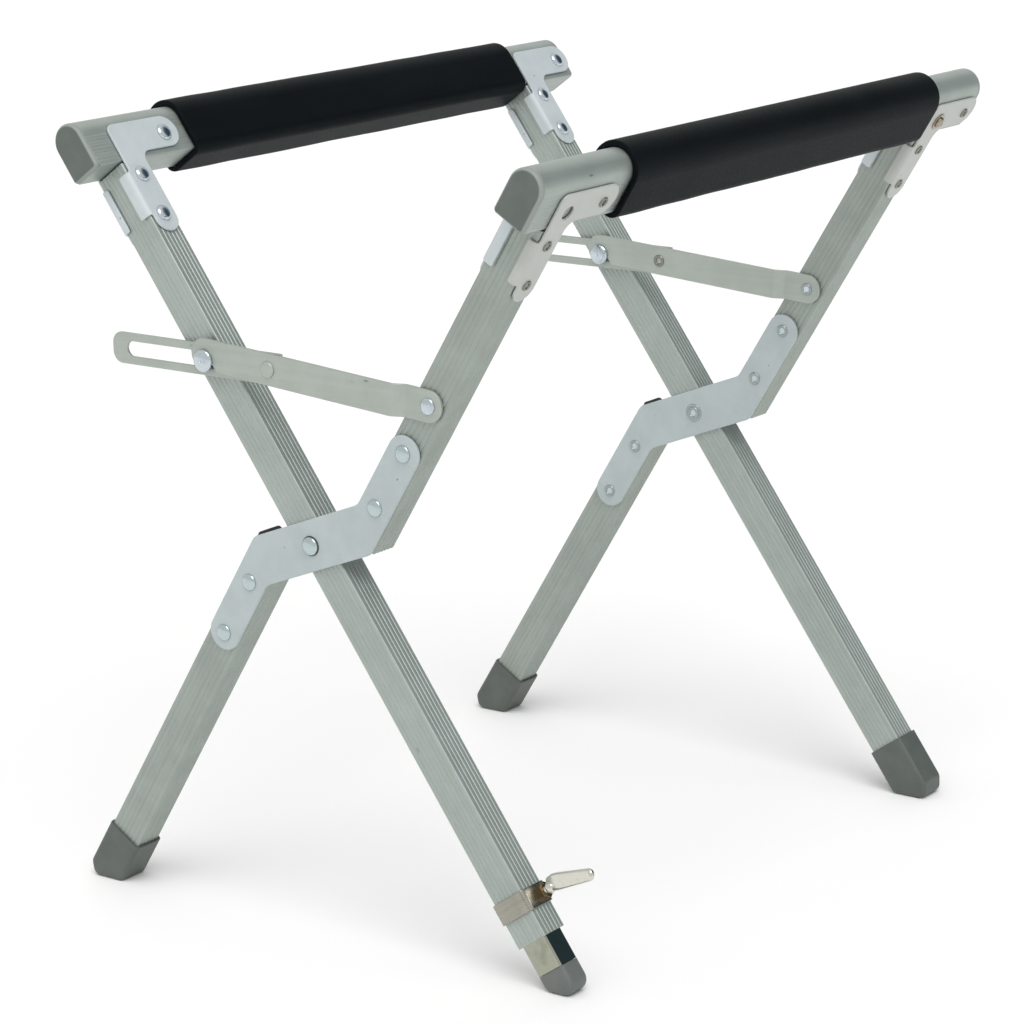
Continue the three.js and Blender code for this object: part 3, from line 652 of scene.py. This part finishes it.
def rail_cap(sign):
    plate = slab(rail_outline(0, 3.2), RAIL_HALF + 0.1, RAIL_HALF + CAP_T, edge=0.2, far_edge=2.8)
    plate.transform(ALONG_Y @ Matrix.Scale(-sign, 4, (0, 0, 1)))
    if sign < 0:
        bmesh.ops.reverse_faces(plate, faces=plate.faces)
    ends = sorted((sign * (RAIL_HALF - CAP_PLUG), sign * (RAIL_HALF + 1)))
    plug = slab_y(rail_outline(-RAIL_WALL - GAP, 1), *ends)
    return joined(plate, plug)


def foam():
    """Sleeve with rounded rims, a skin that wanders by a few tenths and gentle dents."""
    low, high = PAD_ENDS
    cuts = 40
    inside = rail_outline(GAP, 1.8)
    mesh = slab_y(rail_outline(PAD_T, PAD_CORNER), low, high, edge=1.3, holes=[inside])
    for k in range(1, cuts):
        cut_across(mesh, (0, low + (high - low) * k / cuts, 0), (0, 1, 0))
    centre = Vector((0, 0, RAIL_H / 2))
    for vert in mesh.verts:
        out = Vector((vert.co.x, 0, vert.co.z)) - centre
        if max(abs(out.x) - RAIL_W / 2, abs(out.z) - RAIL_H / 2) > 1.5:
            wander = noise.noise(vert.co * 0.03) * 0.35
            vert.co += out.normalized() * wander
    return mesh


def arc_bend(vert, face):
    """Folds a sheet lying against the +X face round the leg's corner onto its -Y face."""
    centre = Vector((LEG_W / 2 - LEG_CORNER, LEG_CORNER))
    inner = LEG_CORNER + GAP
    turn = math.pi / 2 * (inner + BRACKET_T / 2)
    depth = vert.co.x - face
    along = centre.y - vert.co.y
    if along <= 0:
        return
    if along < turn:
        angle = math.pi / 2 * along / turn
        vert.co.x = centre.x + (inner + depth) * math.cos(angle)
        vert.co.y = centre.y - (inner + depth) * math.sin(angle)
        return
    vert.co.x = centre.x - (along - turn)
    vert.co.y = centre.y - inner - depth


def bracket(sign, reach, spare_hole):
    """Pressed bracket: arm along the rail, tongue down the leg, lip folded round the -Y face."""
    face = LEG_W / 2 + GAP
    turn = math.pi / 2 * (LEG_CORNER + GAP + BRACKET_T / 2)
    lip_end = LEG_CORNER - turn - (LEG_W / 2 - LEG_CORNER - reach)
    points = outline([
        (TONGUE_EDGE, BRACKET_TOP, 6),
        (TONGUE_EDGE, LIP["high"], 2.2),
        (lip_end, LIP["high"], 1.6),
        (lip_end, LIP["low"], 1.6),
        (TONGUE_EDGE, LIP["low"], 1.2),
        (TONGUE_EDGE, TONGUE_END, 9.9),
        (TONGUE_W, TONGUE_END, 9.9),
        (TONGUE_W, BRACKET_ARM_LOW, 8),
        (BRACKET_REACH, BRACKET_ARM_LOW, 11.4),
        (BRACKET_REACH, BRACKET_TOP, 11.4),
    ])
    holes = [circle(*SPARE_HOLE, 5)] if spare_hole else []
    bends = [LEG_CORNER - turn * k / 8 for k in range(9)]
    sheet = slab(points, face, face + BRACKET_T, edge=0.6, holes=holes, cuts=bends)
    sheet.transform(ALONG_X)
    for vert in sheet.verts:
        arc_bend(vert, face)
    if sign < 0:
        sheet.transform(Matrix.Scale(-1, 4, (1, 0, 0)))
        bmesh.ops.reverse_faces(sheet, faces=sheet.faces)
    return sheet


# ---- fasteners -----------------------------------------------------------------------------


def dome_head(radius, height, rim=0.35):
    """Button head standing on z = 0: steep at its rim, flattening towards the middle."""
    points = [(0, -0.2), (radius - 0.3, -0.2), (radius - 0.05, 0), (radius, rim * 0.5)]
    for k in range(13):
        angle = math.pi / 2 * k / 12
        points.append((radius * math.cos(angle), rim + (height - rim) * math.sin(angle)))
    return points[:-1] + [(0, height)]


def dimpled_head(radius, height, dimple, rim=0.6):
    """Button head with a small centre dimple."""
    kept = [p for p in dome_head(radius, height, rim) if p[0] > dimple * 1.4 or p[1] < 0]
    top = kept[-1][1]
    return kept + [(dimple * 1.1, top + 0.02), (dimple * 0.8, top - 0.3), (0, top - 0.55)]


def rolled_tail(radius, height, bore):
    """Semi-tubular rivet's tail rolled outwards round its bore."""
    roll = (radius - bore) / 2
    floor = height - roll
    lip = arc((bore + roll, floor), roll, 0, 180, 10)
    return [(0, -0.2), (radius, -0.2)] + lip + [(bore * 0.8, floor - 1), (0, floor - 1.1)]


TAIL = rolled_tail(3.7, 1.3, 1.9)


def shank(radius, low, high):
    return lathe([(0, low), (radius, low), (radius, high), (0, high)], sides=24)


def rivet_through(name, side, sizes, faces, place, metal):
    """Rivet of frame B along Y: head on the outside of the stand, rolled tail on the inside."""
    radius, head_radius, height = sizes
    low, high = faces
    head_face, tail_face, out = (low, high, -1) if side == "near" else (high, low, 1)
    head = moved(lathe(dome_head(head_radius, height)), at(y=head_face) @ facing("Y", out))
    core = moved(shank(radius, low - 0.3, high + 0.3), facing("Y"))
    piece(f"{name}_body", joined(head, core), place, "frame_b", metal, [name])
    ring = rolled_tail(head_radius * 0.8, 1.2, head_radius * 0.38)
    tail = moved(lathe(ring), at(y=tail_face) @ facing("Y", -out))
    piece(f"{name}_tail", tail, place, "frame_b", TAIL_PAINT)


def build_bracket_set(letter, frame_matrix, offset, inward):
    """Brackets of one rail at both legs, with their rivets."""
    body = f"frame_{letter}"
    outer_face = LEG_W / 2 + GAP + BRACKET_T
    for side in FACE:
        place = side_place(frame_matrix, side) @ at(x=offset, z=RAIL_BOTTOM[letter])
        for role, sign in (("inner", inward), ("outer", -inward)):
            name = f"bracket_{letter}_{side}_{role}"
            sheet = bracket(sign, LIP[role], role == "outer")
            # Frame B's outer brackets take the painted-shade copy of the bracket paint.
            paint = SHADED_BRACKET_PAINT if letter == "b" and role == "outer" else BRACKET_PAINT
            piece(f"{name}_sheet", sheet, place, body, paint, [name])
            for number, (y, z) in enumerate(BRACKET_RIVETS):
                profile, metal = (dome_head(5.7, 3), ZINC) if role == "inner" else (TAIL, DULL_ZINC)
                turn = at(x=sign * outer_face, y=y, z=z) @ facing("X", sign)
                head = moved(lathe(profile), turn)
                piece(f"{name}_rivet_{number + 1}", head, place, body, metal)
        name = f"rail_rivet_{letter}_{side}"
        y, z = RAIL_RIVET
        head = moved(lathe(dome_head(6, 3)), at(inward * outer_face, y, z) @ facing("X", inward))
        core = moved(shank(2.5, -outer_face, outer_face), at(0, y, z) @ facing("X"))
        piece(f"{name}_body", joined(head, core), place, body, ZINC, [name])
        tail = moved(lathe(TAIL), at(-inward * outer_face, y, z) @ facing("X", -inward))
        piece(f"{name}_tail", tail, place, body, DULL_ZINC)


def build_rail_screw():
    """Washer and pan-head screw in the far outer bracket of frame B."""
    face = LEG_W / 2 + GAP + BRACKET_T
    washer = lathe([(0, 0), (6.3, 0), (6.5, 0.2), (6.5, 0.8), (6.2, 1), (0, 1)])
    head = moved(lathe(dimpled_head(4.3, 2.7, 1.2)), at(z=1))
    stem = shank(2.4, -5, 0.5)
    turn = at(face, *SPARE_HOLE) @ facing("X")
    place = side_place(FRAME_B, "far") @ at(x=OFFSET_B, z=RAIL_BOTTOM["b"])
    screw = moved(joined(washer, head, stem), turn)
    name = "rail_screw_b_far"
    piece(f"{name}_body", screw, place, "frame_b", SCREW_METAL, [name])


def build_rails():
    for letter, matrix, offset in (("a", FRAME_A, 0), ("b", FRAME_B, OFFSET_B)):
        place = matrix @ at(x=offset, z=RAIL_BOTTOM[letter])
        body = f"frame_{letter}"
        name = f"rail_{letter}"
        piece(f"{name}_profile", rail(), place, body, RAIL_METAL, [name], SHARP_RIBS)
        for side, sign in (("near", -1), ("far", 1)):
            name = f"rail_cap_{letter}_{side}"
            cap = rail_cap(sign)
            piece(f"{name}_moulding", cap, place, body, CAP_PLASTIC, [name])
        name = f"foam_sleeve_{letter}"
        sleeve = piece(f"{name}_foam", foam(), place, body, FOAM, [name], sharp=60)


# ---- pivot plates --------------------------------------------------------------------------

PLATE_FRONT = -GAP - PLATE_T
PLATE_BACK = LEG_D + GAP


def pivot_plate(low, reach):
    """Cranked strip with round ends; the bends of both its edges lie on one mitre."""
    half = [
        (OFFSET_B + reach, PLATE_BEND - PLATE_MITRE * reach, 9),
        (OFFSET_B + reach, PLATE_END, reach - 0.3),
        (OFFSET_B - reach, PLATE_END, reach - 0.3),
        (OFFSET_B - reach, PLATE_BEND + PLATE_MITRE * reach, 9),
    ]
    points = outline(half + [(-x, -z, r) for x, z, r in half])
    return slab_y(points, low, low + PLATE_T, edge=0.7)


def build_pivots():
    faces = (PLATE_FRONT, PLATE_BACK + PLATE_T)
    for side in FACE:
        place = side_place(FRAME_B, side)
        for role, low in (("front", PLATE_FRONT), ("back", PLATE_BACK)):
            name = f"pivot_plate_{side}_{role}"
            plate = pivot_plate(low, PLATE_HALF_W[role])
            piece(f"{name}_sheet", plate, place, "frame_b", PLATE_PAINT, [name])
        for sign, half in ((1, "upper"), (-1, "lower")):
            for number, z in enumerate(PLATE_RIVETS):
                name = f"plate_rivet_{side}_{half}_{number + 1}"
                spot = place @ at(x=sign * OFFSET_B, z=sign * z)
                rivet_through(name, side, (3, 5.8, 2.5), faces, spot, RIVET_METAL)
        name = f"pivot_rivet_{side}"
        raised = (PLATE_FRONT - 0.6, PLATE_BACK + PLATE_T)
        rivet_through(name, side, (4, 6.2, 2.7), raised, place, RIVET_METAL)
        ring = lathe([(0, 0), (6.8, 0), (6.8, 0.4), (6.5, 0.7), (0, 0.7)])
        ring = moved(ring, at(y=PLATE_FRONT) @ facing("Y", -1))
        # The near washer is painted dark as shade round the rivet head; the far one keeps the tail
        # grey.
        metal = PAINTED_SHADE_RING if side == "near" else TAIL_PAINT
        piece(f"pivot_washer_{side}", ring, place, "frame_b", metal)


# ---- lock links ----------------------------------------------------------------------------

OPENING = LEAN_B - LEAN_A
STUD_IN_B = Vector((-STUD_ALONG * math.sin(OPENING), STUD_ALONG * math.cos(OPENING)))
SPAN = Vector((OFFSET_B, ARM_ALONG)) - STUD_IN_B
RISE = math.asin(ARM_RISE / ARM_TO_RIVET)
ARM_TILT = math.atan2(SPAN.y, SPAN.x) - RISE
STUD_IN_ARM = Vector((-SPAN.length * math.cos(RISE), -SPAN.length * math.sin(RISE)))
FROM_STUD = Vector((-ARM_TO_RIVET, 0)) - STUD_IN_ARM
BAR_TILT = ARM_TILT + math.atan2(FROM_STUD.y, FROM_STUD.x) - OPENING


def tilted(place, x, z, tilt):
    return place @ at(x=x, z=z) @ Matrix.Rotation(-tilt, 4, "Y")


def arm_outline():
    """Strip with round ends and the hook's notch in its lower edge."""
    half = LINK_W / 2
    slope = math.radians(NOTCH_SLOPE)
    x, z = STUD_IN_ARM
    tip = Vector((-ARM_TIP + half, 0))
    points = []
    for k in range(25):
        angle = -math.pi / 2 + math.pi * k / 24
        points.append(Vector((half * math.cos(angle), half * math.sin(angle))))
    wall = x - NOTCH_R
    drop = -math.sqrt(half ** 2 - (wall - tip.x) ** 2)
    start = math.pi / 2
    end = math.atan2(drop, wall - tip.x) + 2 * math.pi
    for k in range(25):
        angle = start + (end - start) * k / 24
        points.append(tip + Vector((half * math.cos(angle), half * math.sin(angle))))
    for k in range(13):
        angle = math.pi + (math.pi / 2 - slope - math.pi) * k / 12
        points.append(Vector((x + NOTCH_R * math.cos(angle), z + NOTCH_R * math.sin(angle))))
    last = points[-1]
    mouth = last.x + (last.y + half) / math.tan(slope)
    points.append(Vector((mouth, -half)))
    return points


def lock_arm():
    """Strip whose pivot end is set back against the leg by a joggle."""
    middle = sum(JOGGLE) / 2
    cuts = [-JOGGLE[0] + 2 - (JOGGLE[1] - JOGGLE[0] + 4) * k / 12 for k in range(13)]
    mesh = slab(arm_outline(), 0, ARM_T, edge=0.5, cuts=cuts)
    mesh.transform(ALONG_Y)
    reach = (JOGGLE[1] - JOGGLE[0]) / 2 + 1.5
    for vert in mesh.verts:
        step = min(1, max(0, (-vert.co.x - middle + reach) / (2 * reach)))
        step = step * step * (3 - 2 * step)
        vert.co.y -= GAP + (ARM_OUT - GAP) * step
    return mesh


def slotted_bar():
    half = LINK_W / 2
    end = FROM_STUD.length + BAR_RIVET_END
    strip = outline([(-BAR_TAIL, -half, 8), (end, -half, 1), (end, half, 1), (-BAR_TAIL, half, 8)])
    r = SLOT_W / 2
    ends = ((SLOT[0], -r), (SLOT[1], -r), (SLOT[1], r), (SLOT[0], r))
    slot = outline([(x, z, r - 0.01) for x, z in ends])
    return slab_y(strip, -BAR_OUT - BAR_T, -BAR_OUT, edge=0.5, holes=[slot])


def build_links():
    for side in FACE:
        place_a = side_place(FRAME_A, side)
        place_b = side_place(FRAME_B, side)
        on_arm = tilted(place_b, OFFSET_B, ARM_ALONG, ARM_TILT)
        on_bar = tilted(place_a, 0, STUD_ALONG, BAR_TILT)
        name = f"lock_arm_{side}"
        piece(f"{name}_strip", lock_arm(), on_arm, f"arm_{side}", LINK_METAL, [name])
        name = f"slotted_bar_{side}"
        bar = slotted_bar()
        piece(f"{name}_strip", bar, on_bar, f"bar_{side}", LINK_METAL, [name])
        name = f"arm_pivot_rivet_{side}"
        faces = (-GAP - ARM_T, LEG_D)
        rivet_through(name, side, (3, 5.6, 2.3), faces, on_arm, ZINC)
        name = f"link_rivet_{side}"
        profile, metal = dome_head(5.6, 2.2), LINK_METAL
        if side == "far":
            profile, metal = rolled_tail(4.6, 1.2, 2.1), DULL_ZINC
        head = moved(lathe(profile), at(-ARM_TO_RIVET, -ARM_OUT - ARM_T) @ facing("Y", -1))
        piece(f"{name}_body", head, on_arm, f"arm_{side}", metal, [name])
        name = f"lock_stud_{side}"
        outer = -ARM_OUT - ARM_T - 0.4
        head = moved(lathe(dimpled_head(7.7, 3.4, 0.9)), at(y=outer) @ facing("Y", -1))
        reach = BAR_OUT - 2 * GAP
        collar = lathe([(0, 0), (6, 0), (6, reach), (0, reach)])
        collar = moved(collar, at(y=-GAP) @ facing("Y", -1))
        core = moved(shank(4, outer, LEG_D + GAP), facing("Y"))
        tail = moved(lathe(dome_head(5.8, 2)), at(y=LEG_D) @ facing("Y", 1))
        stud = joined(head, collar, core, tail)
        piece(f"{name}_body", stud, on_bar, f"stud_{side}", ZINC, [name])


# ---- feet ----------------------------------------------------------------------------------


def floor_along(lean, x):
    """Height along a leg at which the floor lies, for a point x across the frame."""
    return (FLOOR + x * math.sin(lean)) / math.cos(lean)


def boot(lean, middle, top):
    """Moulded boot: walls down the leg, level sole, bevelled toe."""
    out = -math.copysign(1, lean)
    half = BOOT_W / 2

    def corner(u, radius, along=None):
        x = middle + out * u
        return (x, floor_along(lean, x) if along is None else along, radius)

    side = outline([
        corner(-half, 3.2, top + 8),
        corner(-half, 4.5),
        corner(7.5, 6),
        corner(half, 6, top - 39),
        corner(half, 3.2, top + 8),
    ])
    block = level_off(slab_y(side, -BOOT_D / 2, BOOT_D / 2, edge=3), top)
    socket = box_outline(LEG_W + 2 * GAP, LEG_D + 2 * GAP, 1)
    room = slab(socket, top - BOOT_ROOM, top + 6, edge=0.1)
    return cut_away(block, moved(room, at(x=middle)))


def foot_cap():
    """Cap no wider than its tube, held by a plug, with well rounded corners."""
    half = FOOT_W / 2
    side = outline([
        (-half, FOOT_TOP + 8, 3.4),
        (-half, floor_along(LEAN_A, -half), 8),
        (half, floor_along(LEAN_A, half), 8),
        (half, FOOT_TOP + 8, 3.4),
    ])
    block = level_off(slab_y(side, -FOOT_D / 2, FOOT_D / 2, edge=3.2), FOOT_TOP)
    plug = slab(box_outline(INNER_W - 3.4, INNER_D - 3.4, 0.6), FOOT_TOP - 1, FOOT_TOP + 8)
    return joined(block, plug)


def level_off(mesh, top):
    """Cuts a block off square at a height and closes it."""
    cut = cut_across(mesh, (0, 0, top), (0, 0, 1), clear_outer=True)
    rim = [item for item in cut["geom_cut"] if isinstance(item, bmesh.types.BMEdge)]
    bmesh.ops.edgeloop_fill(mesh, edges=rim)
    return mesh


def build_feet():
    middle = LEG_D / 2
    boots = (
        ("a", "far", FRAME_A, LEAN_A, 0),
        ("b", "near", FRAME_B, LEAN_B, -OFFSET_B),
        ("b", "far", FRAME_B, LEAN_B, -OFFSET_B),
    )
    for letter, side, matrix, lean, across in boots:
        name = f"boot_{letter}_{side}"
        body = f"frame_{letter}"
        place = side_place(matrix, side) @ at(y=middle)
        shape = boot(lean, across, BOOT_TOP[letter])
        piece(f"{name}_moulding", shape, place, body, BOOT_PLASTIC, [name])
    place = side_place(FRAME_A, "near") @ at(y=middle)
    body = "foot_extension"
    outside = box_outline(INNER_W, INNER_D, 1.6)
    inside = box_outline(INNER_W - 2 * INNER_WALL, INNER_D - 2 * INNER_WALL, 0.8)
    tube = slab(outside, FOOT_TOP + GAP / 2, INNER_TOP, edge=0.3, holes=[inside])
    piece("extension_tube_body", tube, place, body, CHROME, ["extension_tube"])
    cap = foot_cap()
    piece("foot_cap_moulding", cap, place, body, FOOT_PLASTIC, ["foot_cap"])
    build_clamp(place)


def build_clamp(place):
    """Band round the leg, its nut and the thumb screw."""
    width, depth = LEG_W + 2 * GAP, LEG_D + 2 * GAP
    outer = box_outline(width + 2 * BAND_T, depth + 2 * BAND_T, 3.5)
    ring = slab(outer, BAND_LOW, BAND_HIGH, edge=0.4, holes=[box_outline(width, depth, 2)])
    piece("clamp_band_strip", ring, place, "frame_a", BAND_METAL, ["clamp_band"])
    middle = (BAND_HIGH + BAND_LOW) / 2
    on_axis = at(y=SCREW_ACROSS, z=middle) @ facing("X")
    face = width / 2 + BAND_T
    bore = circle(0, 0, SCREW_R + 0.2)
    nut = slab(circle(0, 0, NUT_R, 6), face - 0.5, face + NUT_H, edge=0.6, holes=[bore])
    piece("clamp_nut", moved(nut, on_axis), place, "frame_a", YELLOW_ZINC)
    build_thumb_screw(place @ on_axis)


def build_thumb_screw(place):
    """Threaded shank running into a wing set high on its end, which droops outwards."""
    root = SCREW_R - 0.5
    profile = [(0, SCREW_START)]
    z = SCREW_START
    while z < SCREW_NECK - 2 * SCREW_PITCH:
        crest = [(SCREW_R, z + SCREW_PITCH * share) for share in (0.45, 0.55)]
        profile += [(root, z)] + crest
        z += SCREW_PITCH
    neck = [(root, -2), (root + 0.1, -1.2), (4, -0.4), (4.2, 0.6), (3.6, 2.2), (2.4, 4), (0, 5)]
    stem = lathe(profile + [(r, SCREW_NECK + rise) for r, rise in neck], sides=32)
    length = SCREW_TIP - SCREW_NECK
    half = [(3.5, -2, 2.4), (5.75, 4, 4.5), (5.75, 9, 6), (4, length, 3.9)]
    edges = outline([(SPADE_RISE + x, z, r) for x, z, r in half]
                    + [(SPADE_RISE - x, z, r) for x, z, r in reversed(half)])
    wing = slab(edges, -SPADE_T / 2, SPADE_T / 2, edge=1.9)
    lean = Matrix.Rotation(math.radians(SPADE_ROLL), 4, "Z") @ at(z=SCREW_NECK)
    lean = lean @ Matrix.Rotation(math.radians(SPADE_DROOP), 4, "Y")
    wing.transform(lean @ Matrix.Rotation(math.pi / 2, 4, "X"))
    screw = joined(stem, wing)
    piece("thumb_screw_body", screw, place, "thumb_screw", NICKEL, ["thumb_screw"])


# ---- room ----------------------------------------------------------------------------------


def build_room():
    """Pale seamless floor and a soft white studio."""
    bpy.ops.mesh.primitive_plane_add(size=30, location=(0, 0, 0))
    floor = bpy.context.object
    floor.name = "studio_floor"
    shader = Shader("studio_floor")
    shader.surface.inputs["Base Color"].default_value = (0.96, 0.96, 0.96, 1)
    shader.surface.inputs["Roughness"].default_value = 0.9
    floor.data.materials.append(shader.material)
    build_sky()


def build_sky():
    """Light tent: white all round, cool and dark to one side; the camera sees plain white."""
    world = bpy.data.worlds.new("studio")
    world.use_nodes = True
    tree = world.node_tree
    source = tree.nodes.new("ShaderNodeTexCoord")
    dot = tree.nodes.new("ShaderNodeVectorMath")
    dot.operation = "DOT_PRODUCT"
    dot.inputs[1].default_value = Vector((0.45, 0.76, 0.42)).normalized()
    tree.links.new(source.outputs["Generated"], dot.inputs[0])
    near = tree.nodes.new("ShaderNodeMapRange")
    near.interpolation_type = "SMOOTHSTEP"
    near.inputs["From Min"].default_value = 0.8
    near.inputs["From Max"].default_value = 0.95
    tree.links.new(dot.outputs["Value"], near.inputs["Value"])
    mix = tree.nodes.new("ShaderNodeMix")
    mix.data_type = "RGBA"
    mix.inputs[6].default_value = (0.8, 0.8, 0.79, 1)
    mix.inputs[7].default_value = (0.045, 0.075, 0.1, 1)
    tree.links.new(near.outputs["Result"], mix.inputs["Factor"])
    seen = tree.nodes.new("ShaderNodeMix")
    seen.data_type = "RGBA"
    seen.inputs[7].default_value = (1, 1, 1, 1)
    tree.links.new(mix.outputs[2], seen.inputs[6])
    path = tree.nodes.new("ShaderNodeLightPath")
    tree.links.new(path.outputs["Is Camera Ray"], seen.inputs["Factor"])
    tree.links.new(seen.outputs[2], tree.nodes["Background"].inputs["Color"])
    bpy.context.scene.world = world


def sun(name, direction, strength, spread, colour=(1, 1, 1)):
    """Even light from everywhere within a cone of the given width in degrees."""
    data = bpy.data.lights.new(name, "SUN")
    data.energy = strength
    data.angle = math.radians(spread)
    data.color = colour
    lamp = bpy.data.objects.new(name, data)
    lamp.rotation_euler = Vector(direction).to_track_quat("Z", "Y").to_euler()
    bpy.context.scene.collection.objects.link(lamp)


CAMERA_AT = (1.3454, -1.8443, 0.8320)
CAMERA_ANGLES = (36.527, 14.516, -1.228)
CAMERA_LENS, CAMERA_SENSOR = 115.43, 36


def build_camera():
    """Long lens, a little above the rails, looking past the near end of frame B."""
    azimuth, elevation, roll = (math.radians(angle) for angle in CAMERA_ANGLES)
    flat = math.cos(elevation)
    forward = Vector((-math.sin(azimuth) * flat, math.cos(azimuth) * flat, -math.sin(elevation)))
    level = Vector((math.cos(azimuth), math.sin(azimuth), 0))
    upright = level.cross(forward)
    right = level * math.cos(roll) + upright * math.sin(roll)
    up = right.cross(forward)
    data = bpy.data.cameras.new("camera")
    data.sensor_width = CAMERA_SENSOR
    data.lens = CAMERA_LENS
    data.clip_end = 50
    camera = bpy.data.objects.new("camera", data)
    turn = Matrix((right, up, -forward)).transposed().to_4x4()
    camera.matrix_world = Matrix.Translation(CAMERA_AT) @ turn
    bpy.context.scene.collection.objects.link(camera)
    bpy.context.scene.camera = camera


build_camera()
build_room()
sun("key", (0.5, -0.5, 1.2), 1.35, 40)
build_rails()
build_bracket_set("a", FRAME_A, 0, 1)
build_bracket_set("b", FRAME_B, OFFSET_B, -1)
build_rail_screw()
build_legs()
build_pivots()
build_links()
build_feet()
bpy.context.scene.view_settings.view_transform = "Standard"
